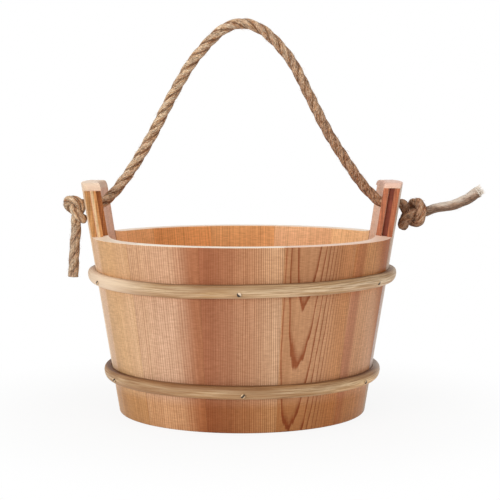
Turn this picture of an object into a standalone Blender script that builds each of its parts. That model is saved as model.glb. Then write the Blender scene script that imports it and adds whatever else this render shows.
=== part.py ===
"""Sauna bucket: tongued wooden staves, two of them ears, with cane hoops, nails and a rope handle."""

import math

import bmesh
import bpy
from mathutils import Matrix, Vector

# Staved wall, in metres
RIM_RADIUS = 0.140
BASE_RADIUS = 0.114
BUCKET_HEIGHT = 0.162
WALL = 0.015
STAVE_COUNT = 12
SEAM = 0.0003
EDGE_CHAMFER = 0.0015
TONGUE_DEPTH = 0.004
TONGUE_CLEARANCE = 0.0002
ARC_STEPS = 7

# Ears
EAR_RISE = 0.050
EAR_CORNER = 0.007
LEFT_EAR_CAP = 0.0074
RIGHT_EAR_CAP = 0.0050
EAR_STEPS = 6
ROPE_HOLE = 0.0155
ROPE_HOLE_RISE = 0.029

# Bottom boards
BOTTOM_LIFT = 0.012
BOTTOM_THICKNESS = 0.012
CROZE_DEPTH = 0.004
CROZE_CLEARANCE = 0.0003
BOARD_COUNT = 3

# Cane hoops
HOOP_HEIGHT = 0.012
HOOP_PROUD = 0.0075
HOOP_FIT = 0.0003
UPPER_HOOP_DROP = 0.0368
LOWER_HOOP_LIFT = 0.0373
HOOP_SCARF = 0.040
HOOP_STEPS = 72

# Nails
NAIL_SHANK = 0.0018
NAIL_HEAD = 0.0038
NAIL_HEAD_HEIGHT = 0.0010
NAIL_BITE = 0.009
NAIL_DROP = 0.0022
NAIL_CLEARANCE = 0.0002
UPPER_NAILS = (-90.7, -32.1, 30.0, 90.0, 150.0, 205.7)
LOWER_NAILS = (-89.4, -30.6, 30.0, 90.0, 150.0, 207.0)

# Rope, with the middle of the arch as points across and above the hole line
ROPE_DIAMETER = 0.010
ROPE_GAP = 0.0004
TAIL_GAP = 0.0013
ROPE_ARCH = (
    (-0.1145, 0.0150), (-0.0984, 0.0373), (-0.0811, 0.0666), (-0.0661, 0.0958), (-0.0493, 0.1250),
    (-0.0382, 0.1395), (-0.0252, 0.1535), (-0.0130, 0.1622), (0.0009, 0.1652), (0.0146, 0.1615),
    (0.0265, 0.1530), (0.0393, 0.1391), (0.0493, 0.1245), (0.0640, 0.0953), (0.0792, 0.0659),
    (0.0981, 0.0364), (0.1125, 0.0165),
)

# Halves of two overhand knots in rope diameters, from the middle to the way out
HANGING_KNOT = (
    (0.00, 0.95, 0.00), (-0.37, 0.94, -0.25), (-0.74, 0.87, -0.48), (-1.08, 0.64, -0.61),
    (-1.33, 0.28, -0.64), (-1.44, -0.13, -0.54), (-1.39, -0.52, -0.33), (-1.19, -0.81, -0.07),
    (-0.86, -0.94, 0.19), (-0.48, -0.90, 0.39), (-0.10, -0.70, 0.49), (0.22, -0.40, 0.45),
    (0.47, -0.12, 0.22), (0.71, 0.06, -0.10), (1.06, 0.21, -0.32), (1.52, 0.34, -0.36),
)
JAMMED_KNOT = (
    (0.00, 1.12, 0.00), (-0.09, 1.04, -0.41), (-0.25, 0.86, -0.76), (-0.44, 0.60, -1.05),
    (-0.62, 0.26, -1.24), (-0.75, -0.14, -1.29), (-0.80, -0.56, -1.21), (-0.80, -0.91, -0.98),
    (-0.80, -1.10, -0.59), (-0.72, -1.11, -0.17), (-0.53, -0.99, 0.19), (-0.26, -0.75, 0.43),
    (0.04, -0.46, 0.50), (0.32, -0.16, 0.38), (0.49, 0.13, 0.12), (0.71, 0.42, -0.09), (1.10, 0.53, -0.14),
)
HANGING_ROPE = 0.0070
JAMMED_ROPE = 0.0088
KNOT_EASE = 0.96
LEFT_KNOT_TURN = (74.0, -120.0)
LEFT_KNOT_PLACE = (-0.1537, 0.1857)
LEFT_TAIL = ((-0.1545, 0.1600), (-0.1555, 0.1480), (-0.1562, 0.1360), (-0.1568, 0.1232))
RIGHT_KNOT_TURN = (5.0, -45.0)
RIGHT_KNOT_PLACE = (0.1570, 0.1822)
RIGHT_TAIL = ((0.1800, 0.1872), (0.1925, 0.1890), (0.2070, 0.1945), (0.2185, 0.2020))

# Colours
CEDAR = (0.56, 0.36, 0.20)
CEDAR_EAR = (0.60, 0.40, 0.23)
CANE = (0.66, 0.52, 0.31)
STEEL = (0.42, 0.41, 0.40)
JUTE = (0.47, 0.33, 0.19)

STAVE_ANGLE = 2.0 * math.pi / STAVE_COUNT
EAR_TOP = BUCKET_HEIGHT + EAR_RISE
HOLE_HEIGHT = BUCKET_HEIGHT + ROPE_HOLE_RISE


def radius_at(height):
    """Outer radius of the tapered wall at a height."""
    return BASE_RADIUS + (RIM_RADIUS - BASE_RADIUS) * height / BUCKET_HEIGHT


def on_wall(radius, angle, height):
    """Point at a radius and an angle about the bucket's middle."""
    return Vector((radius * math.cos(angle), radius * math.sin(angle), height))


def finish(obj, colour, roughness, metallic=0.0):
    """Give an object its own plain material."""
    material = bpy.data.materials.new(obj.name + "_finish")
    material.use_nodes = True
    shader = material.node_tree.nodes["Principled BSDF"]
    shader.inputs["Base Color"].default_value = (colour[0], colour[1], colour[2], 1.0)
    shader.inputs["Roughness"].default_value = roughness
    shader.inputs["Metallic"].default_value = metallic
    obj.data.materials.clear()
    obj.data.materials.append(material)
    return obj


def add_object(name, data):
    """Put data in the scene under a name."""
    obj = bpy.data.objects.new(name, data)
    bpy.context.scene.collection.objects.link(obj)
    return obj


def loft(name, rings):
    """Closed solid through outlines that all run anticlockwise seen from above."""
    bm = bmesh.new()
    loops = []
    for ring in rings:
        loops.append([bm.verts.new(point) for point in ring])
    count = len(rings[0])
    for below, above in zip(loops, loops[1:]):
        for k in range(count):
            n = (k + 1) % count
            bm.faces.new((below[k], below[n], above[n], above[k]))
    bm.faces.new(list(reversed(loops[0])))
    bm.faces.new(loops[-1])
    bmesh.ops.remove_doubles(bm, verts=bm.verts, dist=0.000001)
    bmesh.ops.recalc_face_normals(bm, faces=bm.faces)
    mesh = bpy.data.meshes.new(name)
    bm.to_mesh(mesh)
    bm.free()
    return add_object(name, mesh)


def turned(name, profile, steps, place):
    """Solid turned about local Z from (radius, height) points that start and end on the axis, top first."""
    bm = bmesh.new()
    rows = []
    for radius, height in profile:
        if radius == 0.0:
            rows.append([bm.verts.new((0.0, 0.0, height))])
            continue
        row = []
        for k in range(steps):
            angle = 2.0 * math.pi * k / steps
            row.append(bm.verts.new((radius * math.cos(angle), radius * math.sin(angle), height)))
        rows.append(row)
    for upper, lower in zip(rows, rows[1:]):
        for k in range(steps):
            n = (k + 1) % steps
            corners = [upper[k % len(upper)], lower[k % len(lower)]]
            corners += [lower[n % len(lower)], upper[n % len(upper)]]
            bm.faces.new(list(dict.fromkeys(corners)))
    bmesh.ops.recalc_face_normals(bm, faces=bm.faces)
    bm.transform(place)
    mesh = bpy.data.meshes.new(name)
    bm.to_mesh(mesh)
    bm.free()
    return add_object(name, mesh)


def cut(obj, cutter):
    """Take a cutter's shape out of an object."""
    modifier = obj.modifiers.new("cut_" + cutter.name, "BOOLEAN")
    modifier.operation = "DIFFERENCE"
    modifier.solver = "EXACT"
    modifier.object = cutter
    cutter.hide_render = True
    cutter.display_type = "WIRE"


def stave_ring(middle, height, bevel, croze, capped, inset):
    """Outline across a stave: outer arc, tongue edge, inner arc, groove edge."""
    radius = radius_at(height)
    edge = STAVE_ANGLE / 2.0 - SEAM / 2.0 / radius
    tip = edge + TONGUE_DEPTH / radius
    slot = -edge + (TONGUE_DEPTH + TONGUE_CLEARANCE) / radius
    tongue_out = WALL / 3.0
    tongue_in = WALL * 2.0 / 3.0
    groove_out = tongue_out - TONGUE_CLEARANCE
    groove_in = tongue_in + TONGUE_CLEARANCE
    outer = bevel
    inner = WALL - max(bevel, croze)
    croze_floor = WALL - CROZE_DEPTH
    arc = [-edge + 2.0 * edge * k / ARC_STEPS for k in range(ARC_STEPS + 1)]
    outline = [(angle, outer) for angle in arc]
    if capped:
        outline += [(tip, outer), (tip, tongue_out), (tip, tongue_in), (tip, inner), (edge, inner)]
        slot = -edge
    else:
        outline += [(edge, tongue_out), (tip, tongue_out), (tip, tongue_in)]
        outline += [(edge, tongue_in), (edge, croze_floor)]
    outline += [(angle, inner) for angle in reversed(arc)]
    outline += [(-edge, croze_floor), (-edge, groove_in), (slot, groove_in)]
    outline += [(slot, groove_out), (-edge, groove_out)]
    centre = (tip - edge) / 2.0
    half = (tip + edge) / 2.0
    shrink = (half - inset / radius) / half
    ring = []
    for angle, depth in outline:
        turn = middle + centre + (angle - centre) * shrink
        ring.append(on_wall(radius - depth, turn, height))
    return ring


def ear_inset(height):
    """How far an ear's edges draw in at a height, round its top corners."""
    rise = max(0.0, height - EAR_TOP + EAR_CORNER)
    return EAR_CORNER - math.sqrt(EAR_CORNER * EAR_CORNER - rise * rise)


def make_stave(name, middle):
    """Plain stave with a croze for the bottom."""
    lip = BOTTOM_LIFT + BOTTOM_THICKNESS + CROZE_CLEARANCE
    levels = (
        (0.0, EDGE_CHAMFER, 0.0),
        (EDGE_CHAMFER, 0.0, 0.0),
        (BOTTOM_LIFT - CROZE_CLEARANCE, 0.0, 0.0),
        (BOTTOM_LIFT - CROZE_CLEARANCE, 0.0, CROZE_DEPTH),
        (lip, 0.0, CROZE_DEPTH),
        (lip, 0.0, 0.0),
        (BUCKET_HEIGHT - EDGE_CHAMFER, 0.0, 0.0),
        (BUCKET_HEIGHT, EDGE_CHAMFER, 0.0),
    )
    rings = [stave_ring(middle, height, bevel, croze, False, 0.0) for height, bevel, croze in levels]
    return finish(loft(name, rings), CEDAR, 0.5)


def make_ear(name, middle, cap):
    """Stave carried up past the rim, its tongue and groove stopped under a full-width cap, with a rope hole."""
    lip = BOTTOM_LIFT + BOTTOM_THICKNESS + CROZE_CLEARANCE
    shoulder = EAR_TOP - EAR_CORNER
    stop = EAR_TOP - cap
    levels = [
        (0.0, EDGE_CHAMFER, 0.0, False, 0.0),
        (EDGE_CHAMFER, 0.0, 0.0, False, 0.0),
        (BOTTOM_LIFT - CROZE_CLEARANCE, 0.0, 0.0, False, 0.0),
        (BOTTOM_LIFT - CROZE_CLEARANCE, 0.0, CROZE_DEPTH, False, 0.0),
        (lip, 0.0, CROZE_DEPTH, False, 0.0),
        (lip, 0.0, 0.0, False, 0.0),
    ]
    arc = [shoulder + EAR_CORNER * math.sin(math.pi / 2.0 * k / EAR_STEPS) for k in range(EAR_STEPS)]
    below = [height for height in arc if height < stop - CROZE_CLEARANCE]
    above = [height for height in arc if height > stop + CROZE_CLEARANCE]
    for height in below + [stop]:
        levels.append((height, 0.0, 0.0, False, ear_inset(height)))
    for height in [stop] + above:
        levels.append((height, 0.0, 0.0, True, ear_inset(height)))
    levels.append((EAR_TOP, EDGE_CHAMFER, 0.0, True, EAR_CORNER))
    rings = [stave_ring(middle, *level) for level in levels]
    return finish(loft(name, rings), CEDAR_EAR, 0.5)


def make_boards():
    """Bottom of edge-joined boards, tapered at the rim to seat in the croze."""
    lower = BOTTOM_LIFT
    upper = BOTTOM_LIFT + BOTTOM_THICKNESS
    reach = WALL - CROZE_DEPTH + CROZE_CLEARANCE
    width = 2.0 * (radius_at(lower) - reach) / BOARD_COUNT
    steps = 16
    for index in range(BOARD_COUNT):
        left = (index - BOARD_COUNT / 2.0) * width
        right = left + width - SEAM
        rings = []
        for height in (lower, upper):
            radius = radius_at(height) - reach
            start = math.pi if index == 0 else math.acos(left / radius)
            end = 0.0 if index == BOARD_COUNT - 1 else math.acos(right / radius)
            turns = [start + (end - start) * k / steps for k in range(steps + 1)]
            ring = [Vector((radius * math.cos(t), -radius * math.sin(t), height)) for t in turns]
            ring += [Vector((radius * math.cos(t), radius * math.sin(t), height)) for t in reversed(turns)]
            rings.append(ring)
        finish(loft("bottom_board_" + str(index + 1), rings), CEDAR, 0.6)


def hoop_section(height):
    """Half-round cane section as (radius, height, share of thickness), foot first."""
    section = []
    steps = 10
    for k in range(steps + 1):
        turn = math.pi * k / steps
        rise = -math.cos(turn) * HOOP_HEIGHT / 2.0
        proud = HOOP_PROUD * math.sin(turn) ** 0.72 if 0 < k < steps else 0.0
        base = radius_at(height + rise) + HOOP_FIT
        section.append((base + proud, height + rise, proud / HOOP_PROUD))
    return section


def make_hoop(name, height):
    """Cane hoop bent round the staves, its ends lapped in a long scarf at the back."""
    section = hoop_section(height)
    lap = HOOP_SCARF / radius_at(height)
    slit = 2.0 * SEAM / radius_at(height) + lap * 2.0 * SEAM / HOOP_PROUD
    bm = bmesh.new()
    loops = []
    for step in range(HOOP_STEPS + 1):
        loop = []
        for radius, level, share in section:
            start = math.pi / 2.0 + lap * (share - 0.5)
            angle = start + (2.0 * math.pi - slit) * step / HOOP_STEPS
            loop.append(bm.verts.new(on_wall(radius, angle, level)))
        loops.append(loop)
    count = len(section)
    for here, there in zip(loops, loops[1:]):
        for k in range(count):
            n = (k + 1) % count
            bm.faces.new((here[k], there[k], there[n], here[n]))
    bm.faces.new(loops[0])
    bm.faces.new(list(reversed(loops[-1])))
    bmesh.ops.recalc_face_normals(bm, faces=bm.faces)
    mesh = bpy.data.meshes.new(name)
    bm.to_mesh(mesh)
    bm.free()
    return finish(add_object(name, mesh), CANE, 0.45)


def make_nail(name, angle, height):
    """Round-head nail driven square through a hoop into a stave, and the cutter for its hole."""
    seat = radius_at(height + NAIL_DROP) + HOOP_FIT + HOOP_PROUD + NAIL_CLEARANCE
    inside = radius_at(height) - NAIL_BITE
    place = Matrix.Translation(on_wall(seat, angle, height)) @ Matrix.Rotation(angle, 4, "Z")
    place = place @ Matrix.Rotation(math.pi / 2.0, 4, "Y")
    shank = NAIL_SHANK / 2.0
    head = NAIL_HEAD / 2.0
    depth = seat - inside
    profile = (
        (0.0, NAIL_HEAD_HEIGHT), (head * 0.6, NAIL_HEAD_HEIGHT * 0.85), (head, NAIL_HEAD_HEIGHT * 0.3),
        (head, 0.0), (shank, 0.0), (shank, -depth + NAIL_SHANK), (0.0, -depth),
    )
    finish(turned(name, profile, 12, place), STEEL, 0.4, 1.0)
    bore = shank + NAIL_CLEARANCE
    spare = NAIL_CLEARANCE
    drill = ((0.0, NAIL_HEAD), (bore, NAIL_HEAD), (bore, -depth - spare), (0.0, -depth - spare))
    return turned("cutter_" + name, drill, 12, place)


def smooth(route, steps):
    """Points on a smooth curve through every route point."""
    ends = [route[0] * 2.0 - route[1]] + list(route) + [route[-1] * 2.0 - route[-2]]
    points = []
    for a, b, c, d in zip(ends, ends[1:], ends[2:], ends[3:]):
        for k in range(steps):
            t = k / steps
            near = b * 2.0 + (c - a) * t + (a * 2.0 - b * 5.0 + c * 4.0 - d) * t * t
            points.append((near + (b * 3.0 - a - c * 3.0 + d) * t * t * t) * 0.5)
    points.append(route[-1].copy())
    return points


def make_rope(name, points, diameter):
    """Rope length as a tube along its points."""
    curve = bpy.data.curves.new(name, "CURVE")
    curve.dimensions = "3D"
    curve.bevel_depth = diameter / 2.0
    curve.bevel_resolution = 3
    curve.use_fill_caps = True
    spline = curve.splines.new("POLY")
    spline.points.add(len(points) - 1)
    for slot, point in zip(spline.points, points):
        slot.co = (point.x, point.y, point.z, 1.0)
    return finish(add_object(name, curve), JUTE, 0.85)


def make_arch():
    """Rope between the ears, on the hole line where it passes through them."""
    mouth = radius_at(HOLE_HEIGHT) - WALL
    outside = radius_at(HOLE_HEIGHT) - ROPE_GAP
    route = []
    for across in (outside, mouth + WALL * 0.6, mouth + WALL * 0.3):
        route.append(Vector((-across, 0.0, HOLE_HEIGHT)))
    route.append(Vector((-mouth + ROPE_DIAMETER * 0.4, 0.0, HOLE_HEIGHT + ROPE_DIAMETER * 0.36)))
    for across, above in ROPE_ARCH:
        route.append(Vector((across, 0.0, HOLE_HEIGHT + above)))
    route.append(Vector((mouth - ROPE_DIAMETER * 0.4, 0.0, HOLE_HEIGHT + ROPE_DIAMETER * 0.36)))
    for across in (mouth + WALL * 0.3, mouth + WALL * 0.6, outside):
        route.append(Vector((across, 0.0, HOLE_HEIGHT)))
    make_rope("rope_arch", smooth(route, 3), ROPE_DIAMETER)


def make_end(side, knot, thick, turn, place, skip, tail):
    """Overhand knot outside an ear and the loose end beyond it, on one side."""
    drop = math.radians(turn[0])
    roll = math.radians(turn[1])
    sign = 1.0 if side == "right" else -1.0
    along = Vector((math.cos(drop), 0.0, -math.sin(drop)))
    up = Vector((math.sin(drop), 0.0, math.cos(drop)))
    front = Vector((0.0, -1.0, 0.0))
    rise = up * math.cos(roll) + front * math.sin(roll)
    lift = front * math.cos(roll) - up * math.sin(roll)
    half = [Vector(point) * thick for point in knot]
    whole = [Vector((-p.x, p.y, -p.z)) for p in reversed(half[1:])] + half
    run = [along * p.x + rise * p.y + lift * p.z for p in whole[skip:]]
    start = Vector((sign * (radius_at(HOLE_HEIGHT) + ROPE_GAP), 0.0, HOLE_HEIGHT))
    centre = Vector((place[0], -run[0].y, place[1]))
    route = [start, start + Vector((sign * thick * 0.45, 0.0, 0.0))]
    for p in run:
        route.append(centre + p)
    make_rope(side + "_knot", smooth(route, 2), thick * KNOT_EASE)
    last = route[-1]
    heading = (route[-1] - route[-2]).normalized()
    path = [last + heading * TAIL_GAP, last + heading * (TAIL_GAP + ROPE_DIAMETER * 0.4)]
    for across, height in tail:
        path.append(Vector((across, last.y, height)))
    make_rope(side + "_tail", smooth(path, 4), ROPE_DIAMETER)


for old in list(bpy.data.objects):
    bpy.data.objects.remove(old, do_unlink=True)

# Staves and ears
staves = {}
plain = 0
for index in range(STAVE_COUNT):
    middle_angle = STAVE_ANGLE * index
    if index == 0:
        staves[index] = make_ear("ear_stave_right", middle_angle, RIGHT_EAR_CAP)
    elif index == STAVE_COUNT // 2:
        staves[index] = make_ear("ear_stave_left", middle_angle, LEFT_EAR_CAP)
    else:
        plain += 1
        staves[index] = make_stave("stave_" + str(plain).zfill(2), middle_angle)

# Rope holes
bore_length = 4.0 * RIM_RADIUS
bore_place = Matrix.Translation((-bore_length / 2.0, 0.0, HOLE_HEIGHT))
bore_place = bore_place @ Matrix.Rotation(math.pi / 2.0, 4, "Y")
bore_outline = ((0.0, bore_length), (ROPE_HOLE / 2.0, bore_length), (ROPE_HOLE / 2.0, 0.0), (0.0, 0.0))
rope_bore = turned("cutter_rope_bore", bore_outline, 32, bore_place)
cut(staves[0], rope_bore)
cut(staves[STAVE_COUNT // 2], rope_bore)

make_boards()

# Hoops and their nails
for hoop_name, hoop_height, nail_angles in (
    ("upper", BUCKET_HEIGHT - UPPER_HOOP_DROP, UPPER_NAILS),
    ("lower", LOWER_HOOP_LIFT, LOWER_NAILS),
):
    hoop = make_hoop("hoop_" + hoop_name, hoop_height)
    for number, degrees in enumerate(nail_angles):
        nail_angle = math.radians(degrees)
        nail_name = "nail_" + hoop_name + "_" + str(number + 1)
        drill_hole = make_nail(nail_name, nail_angle, hoop_height - NAIL_DROP)
        cut(hoop, drill_hole)
        stave_index = round(nail_angle / STAVE_ANGLE) % STAVE_COUNT
        cut(staves[stave_index], drill_hole)

# Rope handle, knots and loose ends
make_arch()
make_end("left", HANGING_KNOT, HANGING_ROPE, LEFT_KNOT_TURN, LEFT_KNOT_PLACE, 2, LEFT_TAIL)
make_end("right", JAMMED_KNOT, JAMMED_ROPE, RIGHT_KNOT_TURN, RIGHT_KNOT_PLACE, 1, RIGHT_TAIL)
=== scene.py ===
"""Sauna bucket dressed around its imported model: planed staves, cane hoops, nails and a laid rope handle."""

import logging
import math
import random
from dataclasses import dataclass, field
from enum import Enum
from functools import partial, reduce
from typing import NamedTuple, Sequence

import bmesh
import bpy
import numpy as np
from mathutils import Matrix, Vector


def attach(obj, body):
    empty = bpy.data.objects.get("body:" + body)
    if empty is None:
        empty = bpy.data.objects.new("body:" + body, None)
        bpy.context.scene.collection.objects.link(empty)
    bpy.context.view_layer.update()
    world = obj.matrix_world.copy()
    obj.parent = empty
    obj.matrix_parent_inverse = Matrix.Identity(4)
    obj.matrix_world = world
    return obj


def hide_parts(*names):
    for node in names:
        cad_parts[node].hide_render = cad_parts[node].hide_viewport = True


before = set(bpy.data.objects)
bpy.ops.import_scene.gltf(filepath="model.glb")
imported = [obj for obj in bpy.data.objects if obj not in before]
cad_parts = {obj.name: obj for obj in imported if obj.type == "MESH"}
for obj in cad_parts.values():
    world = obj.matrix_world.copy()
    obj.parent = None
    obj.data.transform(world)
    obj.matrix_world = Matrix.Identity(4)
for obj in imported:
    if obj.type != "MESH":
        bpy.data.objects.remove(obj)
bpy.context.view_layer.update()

LOG = logging.getLogger("sauna_bucket")
MM = 0.001
TURN = 2.0 * math.pi
CREASE = 35.0  # Degrees above which an edge stays sharp.
FRAYED = 2.0  # Wear that marks the open end of the rope, past the 1.0 of a worn rope.

Triple = tuple[float, float, float]
Pair = tuple[float, float]
Colour = Triple
Socket = bpy.types.NodeSocket
Value = float | Socket
Face = tuple[int, ...]


class Body(Enum):
    """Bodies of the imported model."""

    BUCKET = "bucket"
    HANDLE = "handle"


class Side(Enum):
    """The two ears, by the sign of X."""

    LEFT = -1.0
    RIGHT = 1.0


class Lie(Enum):
    """Names of the point attributes that carry a piece's own lie of fibre."""

    ROPE = "rope_lie"
    CANE = "cane_lie"


def linear(red: int, green: int, blue: int) -> Colour:
    """Turn a display colour, from 0 to 255 a part, into linear shares of one."""
    shares = [value / 255.0 for value in (red, green, blue)]
    return tuple(s / 12.92 if s <= 0.04045 else ((s + 0.055) / 1.055) ** 2.4 for s in shares)


class Sheet:
    """Shader nodes of one material, or of the world, laid out from short calls."""

    def __init__(self, name: str, world: bool = False) -> None:
        """Start a material with a Principled shader, or a world with its background.

        Args:
            name: Name of the material or world.
            world: Whether to start a world.
        """
        self.owner = (bpy.data.worlds if world else bpy.data.materials).new(name)
        self.owner.use_nodes = True
        self.tree = self.owner.node_tree
        self.shader = self.tree.nodes["Background" if world else "Principled BSDF"]

    def feed(self, value: object, socket: Socket) -> None:
        """Link a socket, or set a constant, on an input.

        Args:
            value: Socket, number, vector or colour.
            socket: The input.
        """
        if isinstance(value, Socket):
            self.tree.links.new(value, socket)
        elif isinstance(value, tuple) and socket.type == "RGBA":
            socket.default_value = (*value, 1.0)
        else:
            socket.default_value = value

    def put(self, **inputs: object) -> None:
        """Feed inputs of the main shader, with underscores for spaces."""
        for key, value in inputs.items():
            self.feed(value, self.shader.inputs[key.replace("_", " ")])

    def node(self, kind: str, *values: object, **settings: object) -> bpy.types.Node:
        """Add a node.

        Args:
            kind: Blender's name of the node, without its prefix.
            values: What its first inputs take, in order.
            settings: Its properties.

        Returns:
            The node.
        """
        made = self.tree.nodes.new(f"ShaderNode{kind}")
        for key, value in settings.items():
            setattr(made, key, value)
        for value, socket in zip(values, made.inputs):
            self.feed(value, socket)
        return made

    def math(self, operation: str, a: Value, b: Value = 0.0, c: Value = 0.0) -> Socket:
        """Add a Math node under Blender's name of its operation."""
        return self.node("Math", a, b, c, operation=operation).outputs[0]

    def times(self, *factors: Value) -> Value:
        """Multiply values one after another."""
        return reduce(partial(self.math, "MULTIPLY"), factors)

    def scale(self, value: Value, by: Value, plus: Value) -> Socket:
        """Multiply a value and add to it."""
        return self.math("MULTIPLY_ADD", value, by, plus)

    def less(self, a: Value, b: Value) -> Socket:
        """Subtract the second value from the first."""
        return self.math("SUBTRACT", a, b)

    def positive(self, value: Value) -> Socket:
        """Drop the sign of a value."""
        return self.math("ABSOLUTE", value)

    def span(self, a: Value, b: Value) -> Socket:
        """Measure the diagonal over two values."""
        return self.math("SQRT", self.scale(a, a, self.times(b, b)))

    def most(self, *values: Value) -> Value:
        """Pick the largest of several values."""
        return reduce(partial(self.math, "MAXIMUM"), values)

    def vector(self, operation: str, a: object, b: object) -> Socket:
        """Add a Vector Math node with two vector inputs."""
        return self.node("VectorMath", a, b, operation=operation).outputs[0]

    def split(self, vector: Socket) -> tuple[Socket, Socket, Socket]:
        """Separate a vector into its three parts."""
        return tuple(self.node("SeparateXYZ", vector).outputs)

    def join(self, x: Value, y: Value, z: Value) -> Socket:
        """Combine three values into a vector."""
        return self.node("CombineXYZ", x, y, z).outputs[0]

    def lie(self, name: Lie) -> Socket:
        """Read the lie of fibre that a mesh carries."""
        return self.node("Attribute", attribute_name=name.value).outputs["Vector"]

    def noise(self, vector: Socket, stretch: Triple, detail: float = 2.0) -> Socket:
        """Add a noise stretched along the axes of a vector.

        Args:
            vector: Where to read the noise.
            stretch: Noise cells per metre along each axis.
            detail: Octaves.

        Returns:
            The noise from 0 to 1.
        """
        made = self.node("TexNoise", self.vector("MULTIPLY", vector, stretch))
        made.inputs["Scale"].default_value = 1.0
        made.inputs["Detail"].default_value = detail
        return made.outputs["Fac"]

    def sway(self, vector: Socket, stretch: Triple, detail: float = 2.0) -> Socket:
        """Add a stretched noise about zero."""
        return self.less(self.noise(vector, stretch, detail), 0.5)

    def step(self, value: Socket, low: float, high: float) -> Socket:
        """Ease from 0 at one value to 1 at another."""
        return self.node("MapRange", value, low, high, interpolation_type="SMOOTHSTEP").outputs[0]

    def ramp(self, factor: Socket, stops: Sequence[Pair]) -> Socket:
        """Shape a factor through grey stops.

        Args:
            factor: Value from 0 to 1.
            stops: Pairs of place and level.

        Returns:
            The shaped value.
        """
        made = self.node("ValToRGB", factor)
        ends = made.color_ramp.elements
        while len(ends) < len(stops):
            ends.new(0.5)
        for element, (place, level) in zip(ends, stops):
            element.position = place
            element.color = (level, level, level, 1.0)
        return made.outputs[0]

    def mix(self, factor: Value, a: object, b: object, blend: str = "MIX") -> Socket:
        """Mix two colours.

        Args:
            factor: Share of the second colour.
            a: First colour.
            b: Second colour.
            blend: Blender's name of the way to mix.

        Returns:
            The mixed colour.
        """
        made = self.node("Mix", factor, data_type="RGBA", blend_type=blend)
        self.feed(a, made.inputs[6])
        self.feed(b, made.inputs[7])
        return made.outputs[2]

    def paint(self, base: object, colour: object, *factors: Value) -> Socket:
        """Lay a colour over another where all factors are high."""
        return self.mix(self.times(*factors), base, colour)

    def stain(self, base: object, tint: object) -> Socket:
        """Multiply a colour by a tint."""
        return self.mix(1.0, base, tint, "MULTIPLY")

    def wash(self, base: object, tint: object, *factors: Value) -> Socket:
        """Stain a colour where all factors are high."""
        return self.paint(base, self.stain(base, tint), *factors)

    def bump(self, height: Socket, distance: float, under: Socket | None = None) -> Socket:
        """Add a bump, over another where one is given.

        Args:
            height: Height from 0 to 1.
            distance: Height of 1 in metres.
            under: Normal from a coarser bump.

        Returns:
            The bumped normal.
        """
        made = self.node("Bump")
        made.inputs["Distance"].default_value = distance
        self.feed(height, made.inputs["Height"])
        if under is not None:
            self.feed(under, made.inputs["Normal"])
        return made.outputs[0]


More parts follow.
